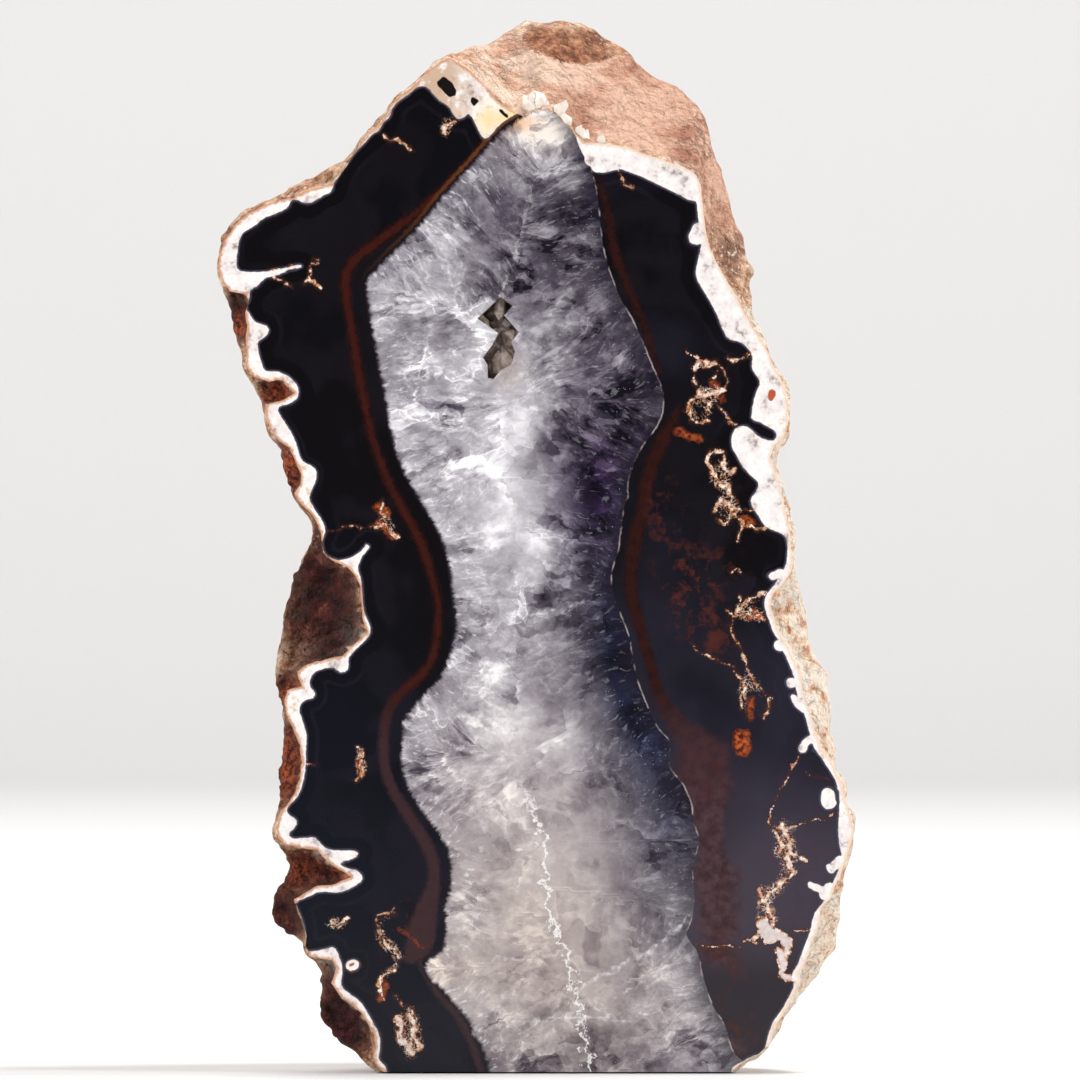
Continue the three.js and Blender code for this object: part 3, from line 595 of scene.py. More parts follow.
# The sawn edges are a little ragged, in their own planes
ragged = 0.22 * lumps(mm, 1.9, 40) + 0.16 * lumps(mm, 4.3, 44)
for edge, out in ((on_face, (0, 2)), (on_base & ~on_face, (0, 1))):
    way = normals[:, out] / np.maximum(np.linalg.norm(normals[:, out], axis=1), 1e-6)[:, None]
    for k, axis in enumerate(out):
        co[edge, axis] += way[edge, k] * ragged[edge] / MM
co = np.clip(co, np.array(stone_low) + 1e-6, np.array(stone_high) - 1e-6)
co[on_face, 1] = face_y
co[on_base, 2] = 0
co[~on_face, 1] = np.maximum(co[~on_face, 1], face_y + 1e-4)
co[~on_base, 2] = np.maximum(co[~on_base, 2], 1e-4)
stone.data.vertices.foreach_set("co", co.ravel())
ember = np.zeros(len(co))
for spot in EMBERS:
    out = spread(mm[:, [0, 2]], *spot) + (from_planes / EMBER_DEPTH) ** 2
    ember = np.maximum(ember, np.exp(-out))
for name, values in (("pocket", pocket), ("slant", slant), ("crest", crest), ("ember", ember)):
    keep_field(stone, name, values)
stone.data.update()

# The open rim of the body, in order round the stone
pairs = {}
counts = {}
for polygon in stone.data.polygons:
    for key in polygon.edge_keys:
        counts[key] = counts.get(key, 0) + 1
for (a, b), uses in counts.items():
    if uses == 1:
        pairs.setdefault(a, []).append(b)
        pairs.setdefault(b, []).append(a)
start = min(pairs, key=lambda v: (not on_face[v], co[v, 0]))
rim = [start]
came = None
while True:
    step = [v for v in pairs[rim[-1]] if v != came][0]
    came = rim[-1]
    if step == start:
        break
    rim.append(step)
if co[rim[5], 2] < co[rim[0], 2]:
    rim = [rim[0]] + rim[:0:-1]
# The run along the base ends in two corners, which are brought on to the face
base_run = [k for k, v in enumerate(rim) if on_base[v]]
corner_right, corner_left = rim[base_run[0]], rim[base_run[-1]]
for k, v in enumerate(rim):
    if k <= base_run[0] or k >= base_run[-1]:
        on_face[v] = True
        co[v, 1] = face_y
stone.data.vertices.foreach_set("co", co.ravel())
stone.data.update()
base_rim = rim[base_run[0] : base_run[-1] + 1]
face_rim = rim[base_run[-1] :] + rim[: base_run[0] + 1]


def lattice_places(low, high, spacing):
    """A triangular lattice over a rectangle, in millimetres."""
    rows = np.arange(low[1], high[1], spacing * 0.866)
    columns = np.arange(low[0], high[0], spacing)
    grid = np.stack(np.meshgrid(columns, rows), -1)
    grid[1::2, :, 0] += spacing / 2
    return grid.reshape(-1, 2)


def filled(loops, loose):
    """Triangles that fill the first closed line, leave the others open, and use the loose places."""
    points = np.concatenate([*loops, loose])
    edges = []
    start = 0
    for loop in loops:
        count = len(loop)
        edges += [(start + k, start + (k + 1) % count) for k in range(count)]
        start += count
    found = geometry.delaunay_2d_cdt([Vector(p) for p in points], edges, [], 1, 1e-7)
    flat = np.array([tuple(p) for p in found[0]])
    triangles = np.array(found[2])
    middles = flat[triangles].mean(1)
    keep = inside(middles, loops[0])
    for loop in loops[1:]:
        keep &= ~inside(middles, loop)
    return flat, triangles[keep]


def clear_of(places, loops, gap):
    """The places that are inside the first line, outside the others, and clear of them all."""
    keep = inside(places, loops[0])
    for loop in loops[1:]:
        keep &= ~inside(places, loop)
    for loop in loops:
        closed = np.concatenate([loop, loop[:1]])
        keep[keep] = along_chain(places[keep], closed)[0] > gap
    return places[keep]


# The polished face: a lattice of places, finer round the veins, inside the body's rim
COARSE = 1.05  # millimetres from place to place
FINE = 0.42
BASE_SPACING = 3.5
MOUTH = [
    (500.5, 296), (513.5, 305), (504.5, 315), (519.5, 332), (511.5, 342), (515.5, 352),
    (511.5, 365), (500.5, 371), (493.5, 380), (487.5, 379), (487.5, 366), (482.5, 358),
    (491.5, 346), (498.5, 333), (476.5, 318),
]
mouth = seen(MOUTH)
mouth = np.concatenate([np.linspace(a, b, 6)[:-1] for a, b in zip(mouth, np.roll(mouth, -1, 0))])
front_edge = np.linspace(co[corner_right, 0], co[corner_left, 0], 88)[1:-1]
outline = np.concatenate(
    [co[face_rim][:, [0, 2]] * MM, np.stack([front_edge * MM, front_edge * 0], 1)]
)
loops = [outline, mouth]
corners = outline.min(0), outline.max(0)
coarse = clear_of(lattice_places(*corners, COARSE), loops, 0.4)
fine = lattice_places(*corners, FINE)
fine = fine[strokes(fine, VEINS + KNOBS + SHADED_HOLES) < 0.8]
fine = clear_of(fine, loops, 0.3)
coarse = coarse[strokes(coarse, VEINS + KNOBS + SHADED_HOLES) > 1.1]
flat, triangles = filled(loops, np.concatenate([coarse, fine]))
face_places = np.stack([flat[:, 0] / MM, np.full(len(flat), face_y), flat[:, 1] / MM], 1)

# The base, sawn flat, meets the face along the front edge
front_run = np.stack([front_edge[::-1], front_edge * 0 + face_y], 1)
base_outline = np.concatenate([co[base_rim][:, [0, 1]], front_run]) * MM
base_loose = lattice_places(base_outline.min(0), base_outline.max(0), BASE_SPACING)
base_loose = clear_of(base_loose, [base_outline], 1.5)
base_flat, base_triangles = filled([base_outline], base_loose)
base_places = np.stack([base_flat[:, 0] / MM, base_flat[:, 1] / MM, base_flat[:, 0] * 0], 1)

# The hollow's room behind the mouth: how deep each ring lies, in millimetres, and its size
ROOM = [(0, 1), (0.8, 0.97), (2.5, 1.04), (5, 1.28), (9, 1.42), (13, 1.3), (16, 0.95), (17.5, 0.5)]
room_places = []
for depth, size in ROOM:
    ring = HOLLOW_MIDDLE + (mouth - HOLLOW_MIDDLE) * size
    room_places.append(np.stack([ring[:, 0], ring[:, 0] * 0 + face_y * MM + depth, ring[:, 1]], 1))
room_places = np.concatenate(room_places) / MM
room_faces = []
count = len(mouth)
for level in range(len(ROOM) - 1):
    for k in range(count):
        a, b = level * count + k, level * count + (k + 1) % count
        room_faces.append((a, b, b + count, a + count))
_, cap_triangles = filled([mouth], np.empty((0, 2)))
cap_start = (len(ROOM) - 1) * count
room_faces += [tuple(cap_start + v for v in t) for t in cap_triangles]


def add_skin(name, places, faces, finish):
    skin = bpy.data.meshes.new(name)
    skin.from_pydata([tuple(p) for p in places], [], [tuple(int(v) for v in f) for f in faces])
    skin.polygons.foreach_set("material_index", [finish] * len(faces))
    piece = bpy.data.objects.new(name, skin)
    bpy.context.collection.objects.link(piece)
    return piece


def crystal_point(root, way, radius, length, turn):
    """A six-sided prism with a pointed end, as places and faces."""
    way = Vector(way).normalized()
    side = way.cross(Vector((0.3, 0.2, 1))).normalized()
    other = way.cross(side)
    ring = []
    for level, size in ((0, 0.9), (length - radius * 1.25, 1)):
        for k in range(6):
            a = turn + k * math.pi / 3
            uneven = size * (1 + 0.12 * math.sin(3.7 * k + turn * 5))
            ring.append(root + way * level + (side * math.cos(a) + other * math.sin(a)) * radius * uneven)
    ring.append(root + way * length + side * radius * 0.12)
    faces = [(k, (k + 1) % 6, (k + 1) % 6 + 6, k + 6) for k in range(6)]
    faces += [(6 + k, 6 + (k + 1) % 6, 12) for k in range(6)]
    faces.append((5, 4, 3, 2, 1, 0))
    return ring, faces


# Small cream crystals that stand on the break just above the quartz, in three rows
CREAM_POINTS = [
    (533, 110), (541, 113), (548, 119), (556, 124), (563, 131), (570, 137), (577, 146), (586, 152),
    (594, 152),
]
cream_places, cream_faces = [], []
for n, (column, row) in enumerate(CREAM_POINTS * 3):
    x, z = seen([(column + 4 * math.sin(n * 2.4), row + 4 - 6 * (n // len(CREAM_POINTS)))])[0]
    radius = 1.5 + 0.5 * math.sin(n * 1.7)
    root = Vector((x, face_y * MM + radius + 0.8, z - 1.2))
    way = (math.sin(n * 1.9) * 0.6, -0.35, 1)
    points, faces = crystal_point(root, way, radius, 5.2 + 1.2 * math.sin(n * 3.1), n)
    points = [Vector((p.x, max(p.y, face_y * MM + 0.1), p.z)) for p in points]
    cream_faces += [tuple(len(cream_places) + v for v in face) for face in faces]
    cream_places += points

POLISHED, RIND, SAWN, CREAM = 0, 1, 2, 3
stone.data.polygons.foreach_set("material_index", [RIND] * len(stone.data.polygons))
skins = [
    add_skin("face", face_places, triangles, POLISHED),
    add_skin("base", base_places, base_triangles, SAWN),
    add_skin("room", room_places, room_faces, POLISHED),
    add_skin("cream_crystals", np.array(cream_places) / MM, cream_faces, CREAM),
]
for finish in ("polished_agate", "rind", "sawn_base", "cream_quartz"):
    material = bpy.data.materials.new(finish)
    material.use_nodes = True
    stone.data.materials.append(material)
    for skin in skins:
        skin.data.materials.append(material)
pick(*skins, stone)
bpy.ops.object.join()
bpy.ops.object.mode_set(mode="EDIT")
bpy.ops.mesh.select_all(action="SELECT")
bpy.ops.mesh.remove_doubles(threshold=2e-6)
bpy.ops.mesh.select_all(action="DESELECT")
bpy.ops.mesh.select_non_manifold()
bpy.ops.mesh.remove_doubles(threshold=3e-4)
bpy.ops.mesh.select_all(action="SELECT")
bpy.ops.mesh.normals_make_consistent(inside=False)
bpy.ops.object.mode_set(mode="OBJECT")

# What the polished face's finish reads: distances in millimetres
POLISH_DEPTH = 0.019  # metres back from the face that its finish reaches, in the hollow
co = vertex_values(stone)
front = np.flatnonzero(co[:, 1] < face_y + POLISH_DEPTH)
here = co[front][:, [0, 2]] * MM
agate = rounded(seen(AGATE_LEFT + AGATE_TOP + AGATE_RIGHT), 1, closed=True)
left_wall = rounded(seen(QUARTZ_LEFT), 2)
right_wall = rounded(seen(QUARTZ_RIGHT), 2)
seam = rounded(seen(SEAM), 1)


def beside(places, wall):
    """Signed distance from a line that runs down the face, positive to its right, and the run along it."""
    away, run = along_chain(places, wall)
    order = np.argsort(wall[:, 1])
    side = places[:, 0] - np.interp(places[:, 1], wall[order, 1], wall[order, 0])
    return away * np.sign(side), run


# Veins and stains wander a little and clouds more: they are looked up from shifted places
def shifted(large, large_size, small, small_size, seed):
    """The face's places, moved about in two sizes of smooth noise, in millimetres."""
    flat = np.stack([here[:, 0], here[:, 0] * 0, here[:, 1]], 1)
    moves = [
        large * lumps(flat, large_size, start) + small * lumps(flat, small_size, start + 4)
        for start in (seed, seed + 10)
    ]
    return here + np.stack(moves, 1)


astray = shifted(0.5, 2.4, 0.35, 1.1, 51)
drifting = shifted(3.2, 9, 1.6, 3.6, 71)
from_left, left_run = beside(here, left_wall)
from_right, right_run = beside(here, right_wall)
from_seam, _ = beside(here, seam)
border = along_chain(here, np.concatenate([agate, agate[:1]]))[0]
border *= np.where(inside(here, agate), 1, -1)
border = np.minimum(border, strokes(here + (astray - here) * 0.4, KNOBS))
red = np.full(len(here), 1e6)
for band in RED_BANDS:
    band = np.array(band, float)
    line = np.concatenate([seen(band[:, :2]), band[:, 2:]], 1)
    line = rounded(line, 2) if len(line) > 2 else line
    red = np.minimum(red, along_chain(here, line[:, :2], line[:, 2])[0])
fields = {
    "from_left": from_left,
    "left_run": left_run,
    "from_right": -from_right,
    "right_run": right_run,
    "from_seam": from_seam,
    "border": border,
    "edge": along_chain(here, np.concatenate([outline, outline[:1]]))[0],
    "red": red,
    "milk": lightness(drifting),
    "lace": patches(astray, [(*spot, 1) for spot in LACE]),
    "fissure": strokes(here + (astray - here) * 1.5, FISSURES),
}
for name, spots in SPOTS.items():
    fields[name] = patches(here, spots)
for name, lines in (("vein", VEINS), ("stain", STAINS), ("hole", SHADED_HOLES), ("heart", HEARTS)):
    fields[name] = strokes(astray, lines)
DISTANCES = ("vein", "stain", "hole", "heart", "fissure", "red")
for name, values in fields.items():
    everywhere = np.full(len(co), 20.0 if name in DISTANCES else 0.0)
    everywhere[front] = values
    keep_field(stone, name, everywhere)


def tone(red, green, blue):
    """A colour as seen on a screen, from 0 to 255, as the shader takes it."""
    levels = [v / 255 for v in (red, green, blue)]
    return (*(v / 12.92 if v < 0.04045 else ((v + 0.055) / 1.055) ** 2.4 for v in levels), 1)


class Signal:
    """What a node gives out, which is added, taken away and multiplied as a number is."""

    def __init__(self, finish, socket):
        self.finish = finish
        self.socket = socket

    def __add__(self, other):
        return self.finish.maths("ADD", self, other)

    def __sub__(self, other):
        return self.finish.maths("SUBTRACT", self, other)

    def __mul__(self, other):
        return self.finish.maths("MULTIPLY", self, other)

    def __radd__(self, other):
        return self.finish.maths("ADD", other, self)

    def __rsub__(self, other):
        return self.finish.maths("SUBTRACT", other, self)

    def __abs__(self):
        return self.finish.maths("ABSOLUTE", self)


class Finish:
    """A material's nodes, wired by short calls."""

    def __init__(self, material):
        self.tree = material.node_tree
        self.shader = self.tree.nodes["Principled BSDF"]

    def node(self, kind, output, values, **settings):
        """A new node with its settings made and its values fed in, and what it gives out."""
        made = self.tree.nodes.new("ShaderNode" + kind)
        for name, setting in settings.items():
            setattr(made, name, setting)
        for name, value in values.items():
            self.feed(value, made.inputs[name])
        return Signal(self, made.outputs[output])

    def feed(self, value, socket):
        if isinstance(value, Signal):
            self.tree.links.new(value.socket, socket)
        else:
            socket.default_value = value

    def shade(self, name, value):
        self.feed(value, self.shader.inputs[name])

    def field(self, name):
        return self.node("Attribute", "Fac", {}, attribute_name=name)

    def millimetres(self):
        place = self.node("TexCoord", "Object", {})
        return self.node("VectorMath", 0, {0: place, "Scale": MM}, operation="SCALE")

    def axis(self, where, name):
        return self.node("SeparateXYZ", name, {0: where})

    def maths(self, kind, *values):
        return self.node("Math", 0, dict(enumerate(values)), operation=kind)

    def between(self, value, low, high, to_low=0.0, to_high=1.0):
        values = {"Value": value, "From Min": low, "From Max": high, "To Min": to_low, "To Max": to_high}
        return self.node("MapRange", 0, values, interpolation_type="SMOOTHSTEP")

    def vector(self, x, y, z=0.0):
        return self.node("CombineXYZ", 0, {0: x, 1: y, 2: z})

    def blend(self, share, first, second, kind="MIX"):
        return self.node("Mix", 2, {0: share, 6: first, 7: second}, data_type="RGBA", blend_type=kind)

    def swap(self, share, first, second):
        return self.node("Mix", 1, {0: share, 4: first, 5: second}, data_type="VECTOR")

    def tint(self, share, first, second):
        """The first colour, darkened by the second as far as the share says."""
        return self.blend(share, first, self.blend(1.0, first, second, "MULTIPLY"))

    def noise(self, where, scale, detail=3.0, roughness=0.5):
        values = {"Vector": where, "Scale": scale, "Detail": detail, "Roughness": roughness}
        return self.node("TexNoise", "Fac", values)

    def cells(self, where, scale, output, feature="F1"):
        return self.node("TexVoronoi", output, {"Vector": where, "Scale": scale}, feature=feature)

    def ramp(self, value, stops):
        """A colour for the value, from stops of a place and a red, green and blue."""
        colour = self.node("ValToRGB", 0, {0: value})
        ramp = colour.socket.node.color_ramp
        while len(ramp.elements) < len(stops):
            ramp.elements.new(0.5)
        for element, (place, *shade) in zip(ramp.elements, stops):
            element.position = place
            element.color = tone(*shade)
        return colour

    def bump(self, value, distance, strength=1.0):
        values = {"Height": value, "Distance": distance, "Strength": strength}
        self.shade("Normal", self.node("Bump", 0, values))


f = Finish(stone.data.materials[POLISHED])
mm_place = f.millimetres()
wobble = f.noise(mm_place, 0.9, 4, 0.6) - 0.5
broad = f.noise(mm_place, 0.03, 3)
sideways = f.axis(mm_place, "X")
rise = f.axis(mm_place, "Z")
right_side = f.between(sideways, 8, 18)

# Dark agate, bluer low down, with faint bands that follow the border
lowness = f.between(rise, 150, 40) + (broad - 0.5) * 1.6
low_right = f.blend(f.between(rise, 38, 20), tone(62, 55, 66), tone(42, 36, 42))
low_right = f.blend(f.between(rise, 85, 48), tone(40, 38, 53), low_right)
dark = f.blend(lowness, tone(7, 5, 8), f.blend(right_side, tone(11, 12, 24), low_right))
into = f.field("border") + wobble * 0.5
banding = f.maths("SINE", (into + broad * 9) * 1.7)
banding = f.between(banding, 0.4, 1) * f.between(into, 12, 1)
banding = banding * f.noise(mm_place, 0.06, 2)
dark = f.blend(banding * 0.3, dark, tone(46, 42, 52))
dark = f.blend(f.between(into, 0.75, 0.05), dark, tone(70, 66, 80))

# Red-brown bands and rusty clouds
mist = f.noise(mm_place, 0.1, 7, 0.64)
red_edge = f.field("red") + wobble * 1.8
rust_noise = f.noise(mm_place, 0.35, 6, 0.65)
low_down = f.between(rise, 100, 80)
deep_rust = f.blend(right_side, tone(48, 14, 9), tone(44, 17, 13))
low_rust = f.blend(f.between(rise, 80, 60), tone(62, 39, 43), tone(74, 53, 58))
deep_rust = f.blend(low_down, deep_rust, f.blend(right_side, tone(56, 36, 38), low_rust))
rust_tone = f.blend(low_down, tone(26, 9, 8), tone(52, 33, 38))
rust_tone = f.blend(f.between(rust_noise, 0.35, 0.65), rust_tone, deep_rust)
core = abs(f.field("red") + 1.6 + wobble * 1.6)
core = f.between(core, 0.75, 0.1, 0, 0.55) * f.between(rise, 82, 100)
rust_tone = f.blend(core, rust_tone, f.blend(right_side, tone(66, 24, 15), tone(46, 18, 14)))
soft = low_down * right_side
patchy = (mist - 0.5) * 14 * soft
red_share = f.between(red_edge + patchy, 0.2 + soft, -1.3 - soft * 1.6)
dark = f.blend(red_share, dark, rust_tone)
rusty = f.noise(mm_place, 0.2, 6, 0.7)
clouds = f.between(f.field("rust") * f.between(rusty, 0.4, 0.64), 0.15, 0.75)
dark = f.blend(clouds * 0.85, dark, f.blend(rust_noise, tone(44, 18, 18), tone(92, 44, 34)))
amber = f.between(abs(f.field("from_left") + (0.7 + wobble * 1.6)), 0.8, 0.1)
amber = amber * f.between(rise, 192, 232)
dark = f.blend(amber * 0.55, dark, tone(112, 66, 32))

# Quartz: crystals that grow in from each wall and meet at the seam
sway = f.noise(mm_place, 0.09, 3)
seam_place = f.field("from_seam") + (sway - 0.5) * 9 + (mist - 0.5) * 14
side = f.between(seam_place, -0.1, 0.1)
bend = (f.noise(mm_place, 0.06, 2) - 0.5) * 8
growth = f.swap(
    side,
    f.vector(f.field("left_run") + bend, f.field("from_left") * 0.3),
    f.vector(f.field("right_run") + bend, f.field("from_right") * 0.3, 40.0),
)
streaks = f.between(f.noise(growth, 0.4, 4, 0.58), 0.34, 0.66)
hairs = f.noise(growth, 1.5, 3, 0.6)
grain = f.noise(mm_place, 1.1, 4, 0.7)
curl = f.noise(mm_place, 0.12, 3, 0.5) * 16
shaken = f.vector(f.field("from_left") * 0.5 + streaks * 1.2, rise + curl)
curled = f.vector(curl * 0.22, curl * 0.12)
columns = f.node("VectorMath", 0, {0: growth, 1: curled}, operation="ADD")


def shards(where, scale):
    """Crystal faces cut through: a random level to each and its thin bright edge."""
    level = f.node("SeparateColor", 0, {0: f.cells(where, scale, "Color")})
    edge = f.cells(where, scale, "Distance", "DISTANCE_TO_EDGE")
    return level, f.between(edge, 0.05, 0.0)


large_level, large_edge = shards(shaken, 0.11)
small_level, small_edge = shards(shaken, 0.34)
column_level, column_edge = shards(columns, 0.26)
plates = f.field("plates")
lively = 1 - f.field("calm") * 0.4
veined = f.between(f.field("calm"), 0.9, 0.1, 0.15, 1) * f.between(mist, 0.44, 0.58)
crisp = f.between(f.noise(mm_place, 0.075, 3, 0.6), 0.4, 0.58, 0.3, 1.35)
swing = (
    (streaks - 0.5) * crisp * 0.26
    + (hairs - 0.5) * crisp * 0.14
    + (column_level - 0.5) * crisp * 0.22
    + (small_level - 0.5) * crisp * 0.2
    + (large_level - 0.5) * plates * 0.4
    + (column_edge * veined - 0.05) * 0.12
    + (small_edge * veined - 0.05) * 0.12
    + large_edge * plates * f.between(mist, 0.4, 0.52) * 0.32
    + (grain - 0.5) * 0.2
    + (mist - 0.5) * 0.9
)
light = f.field("milk") + swing * lively
quartz = f.ramp(
    light,
    [(0, 22, 18, 28), (0.25, 78, 71, 82), (0.5, 134, 128, 136), (0.75, 182, 178, 184), (1, 240, 238, 240)],
)
warmth = f.field("warm") * 0.8
quartz = f.tint(warmth, quartz, tone(252, 238, 220))
golden = f.field("gold") * 0.85
quartz = f.tint(golden, quartz, tone(236, 172, 84))
night_tone = f.blend(f.between(rise, 105, 150), tone(82, 95, 134), tone(126, 98, 150))
quartz = f.tint(f.field("night") * 0.75, quartz, night_tone)

# The walls are dark and toothed, with short bright dashes of crystal tips beside them
teeth = f.noise(growth, 0.6, 4, 0.7)
wall = f.field("from_left") + (teeth - 0.5) * 3.2
quartz = f.blend(f.between(wall, 1.4, 0.2), quartz, tone(28, 20, 28))
dashes = f.between(f.noise(growth, 1.0, 3, 0.55), 0.57, 0.68)
near_wall = f.maths(
    "MAXIMUM",
    f.between(f.field("from_left"), 18, 2, 0, 0.6),
    f.between(f.field("from_right"), 24, 10, 0, 0.14),
)
dashes = dashes * near_wall
quartz = f.blend(dashes * f.between(wall, 0.4, 1.6), quartz, tone(226, 226, 232))
wall = f.field("from_right") + (teeth - 0.5) * 6
quartz = f.blend(f.between(wall, 6.5, 0.2, 0, 0.75), quartz, tone(26, 22, 36))
glints = f.cells(mm_place, 1.1, "Distance")
sparkle = f.between(glints, 0.16, 0.06) * f.between(f.noise(mm_place, 0.25, 2), 0.52, 0.6)
quartz = f.blend(sparkle * 0.6, quartz, tone(190, 194, 214))

# The seam: a crumbly white line low down, faint higher up
stray = f.noise(mm_place, 0.35, 4, 0.65) - 0.5
apart = abs(f.field("from_seam") + stray * 12)
druse = f.between(apart + (grain - 0.5) * 3, 0.75, 0.1)
low_seam = f.between(rise, 78, 62, 0.0, 0.8)
top_seam = f.between(abs(rise - 205), 26, 8, 0.0, 0.25)
fine_seam = abs(f.field("from_seam") + stray * 5)
fine_seam = f.between(fine_seam + (grain - 0.5), 0.7, 0.0)
druse = f.maths("MAXIMUM", druse * low_seam, fine_seam * top_seam * f.between(streaks, 0.3, 0.9))
quartz = f.blend(druse, quartz, tone(240, 238, 236))
fissure = f.field("fissure") + (grain - 0.5) * 1.6
fissure = f.between(fissure, 0.75, -0.2, 0, 0.6) * f.between(hairs, 0.36, 0.56, 0.25, 1)
quartz = f.blend(fissure, quartz, tone(236, 234, 238))
in_quartz = f.between(f.field("from_left"), -0.12, 0.12) * f.between(f.field("from_right"), -0.12, 0.12)
surface = f.blend(in_quartz, dark, quartz)
lining = f.between(abs(f.field("from_right") + wobble * 0.5), 0.28, 0.05)
lining = lining * f.between(f.noise(mm_place, 0.3, 4), 0.44, 0.62)
surface = f.blend(lining * 0.5, surface, tone(206, 186, 184))

# Stains, veins with a brown edge, then the white border, creamy and tan towards the rind
stain = f.field("stain") + wobble * 3.5
stain_tone = f.blend(f.between(f.noise(mm_place, 0.9, 4), 0.35, 0.7), tone(72, 26, 12), tone(190, 92, 44))
surface = f.blend(f.between(stain, 0.4, -0.5, 0, 0.9), surface, stain_tone)
crumbs = f.noise(mm_place, 2.1, 5, 0.72)
swell = f.noise(mm_place, 0.45, 3, 0.6) - 0.46
vein = f.field("vein") + (crumbs - 0.5) * 1.7 + swell * 2
surface = f.blend(f.between(vein, 0.8, 0.1, 0, 0.45), surface, tone(70, 36, 24))
lace = f.between(abs(f.noise(mm_place, 0.8, 4, 0.65) - 0.5), 0.035, 0.012)
lace = lace * f.between(f.field("lace") + (crumbs - 0.5) * 1.4, 0.4, 0.6)
lace = lace * f.between(f.field("vein"), 1.5, 0.5)
vein_tone = f.ramp(
    f.noise(mm_place, 1.0, 5, 0.65),
    [(0.34, 120, 62, 34), (0.46, 190, 132, 92), (0.58, 232, 214, 196), (0.7, 242, 238, 234)],
)
vein_core = f.between(f.field("vein") + (crumbs - 0.5) * 1.2, -0.25, -0.75, 0, 0.85)
vein_tone = f.blend(vein_core, vein_tone, f.blend(mist, tone(176, 162, 162), tone(238, 232, 232)))
surface = f.blend(lace * 0.9, surface, vein_tone)
surface = f.blend(f.between(vein, 0.02, -0.12), surface, vein_tone)
chalk = f.ramp(
    f.noise(mm_place, 0.22, 6, 0.68),
    [(0.32, 148, 130, 128), (0.42, 226, 217, 214), (0.58, 246, 240, 237), (0.68, 214, 184, 160)],
)
tan = f.blend(f.noise(mm_place, 0.4, 4), tone(222, 176, 146), tone(176, 118, 88))
skin_edge = f.field("edge") + wobble * 1.6
creamy = f.between(sideways, -10, -24) * f.between(rise, 215, 235)
creamy = creamy * f.between(f.noise(mm_place, 0.3, 5, 0.6), 0.36, 0.56)
chalk = f.blend(creamy * 0.9, chalk, tone(192, 160, 132))
tan = f.blend(right_side * 0.65, tan, tone(246, 228, 210))
chalk = f.blend(f.between(skin_edge, 0.9, 0.2), chalk, tan)
chalk = f.blend(f.field("gold") * 0.85, chalk, tone(240, 206, 134))
surface = f.blend(f.between(into, 0.12, -0.12), surface, chalk)
# Painted shade stands in for the small hollows in the border
surface = f.blend(f.between(f.field("hole"), 0.15, -0.15), surface, tone(22, 16, 16))
surface = f.blend(f.between(f.field("heart"), 0.15, -0.15), surface, tone(176, 84, 54))
f.shade("Base Color", surface)
f.shade("Roughness", 0.16)
f.shade("Specular IOR Level", 0.25)

# The rind: pinkish tan and chalky, with painted shade in its pits, painted highlights on its edges and
# front, and dark red-brown pockets on the left
f = Finish(stone.data.materials[RIND])
mm_place = f.millimetres()
crevice = f.node("NewGeometry", "Pointiness", {})
sideways = f.axis(mm_place, "X")
behind = f.axis(mm_place, "Y")
rise = f.axis(mm_place, "Z")
lit = f.between(behind, -16, 2, 1, 0.4)  # more contrast beside the sawn face: fresher, more broken rind, with painted highlight and painted shade in it
coarse = (f.noise(mm_place, 0.17, 6, 0.66) - 0.5) * (lit * 2.6)
plain = (f.noise(mm_place, 0.035, 5, 0.6) - 0.5) * 2.4
rind_tone = f.ramp(
    coarse + plain + 0.5,
    [(0.02, 122, 74, 50), (0.3, 190, 134, 98), (0.55, 228, 182, 146), (0.9, 252, 234, 214)],
)
speckle = f.noise(mm_place, 0.75, 6, 0.72)
# Dark and pale speckles, strongest near the front: the rind's own grain, with painted shade and painted
# highlight in it
rind_tone = f.blend(f.between(speckle, 0.54, 0.63, 0, 0.8) * lit, rind_tone, tone(96, 54, 34))
rind_tone = f.blend(f.between(speckle, 0.46, 0.37, 0, 0.8) * lit, rind_tone, tone(252, 232, 212))
# The front of the right side is painted paler and harsher, standing in for the strong lamplight on it:
# painted light
lit_side_paint = f.between(sideways, 28, 46) * f.between(behind, -10, -24)
lit_side_paint = lit_side_paint * f.between(rise, 195, 160, 0.1, 1)
lit_side_tone = f.ramp(
    f.noise(mm_place, 0.28, 7, 0.7),
    [(0.33, 172, 104, 70), (0.4, 226, 176, 138), (0.48, 252, 230, 208), (0.7, 255, 246, 234)],
)
rind_tone = f.blend(lit_side_paint, rind_tone, lit_side_tone)
flow = f.node("Mapping", 0, {"Vector": mm_place, "Rotation": (0, -0.6, 0), "Scale": (0.6, 1, 1)})
broken = f.between(f.noise(flow, 0.11, 8, 0.66), 0.34, 0.66)
slant_tone = f.blend(
    f.between(sideways, -22, 30),
    f.ramp(broken, [(0.0, 214, 160, 132), (0.35, 238, 196, 168), (0.8, 250, 222, 198)]),
    f.ramp(broken, [(0.0, 166, 110, 86), (0.35, 202, 148, 122), (0.8, 228, 182, 156)]),
)
slant_tone = f.blend(f.between(speckle, 0.59, 0.68, 0, 0.3), slant_tone, tone(150, 94, 70))
crest = f.between(f.field("crest") + (speckle - 0.5) * 0.35, 0.46, 0.52)
crest_tone = f.ramp(
    f.noise(mm_place, 0.45, 5, 0.65), [(0.35, 104, 60, 42), (0.5, 160, 102, 72), (0.65, 208, 152, 114)]
)
slant_tone = f.blend(crest, slant_tone, crest_tone)
rind_tone = f.blend(f.field("slant"), rind_tone, slant_tone)
pocket_tone = f.ramp(
    f.noise(mm_place, 0.2, 6, 0.66),
    [(0.34, 32, 10, 9), (0.46, 60, 20, 18), (0.58, 86, 34, 28), (0.7, 134, 80, 64)],
)
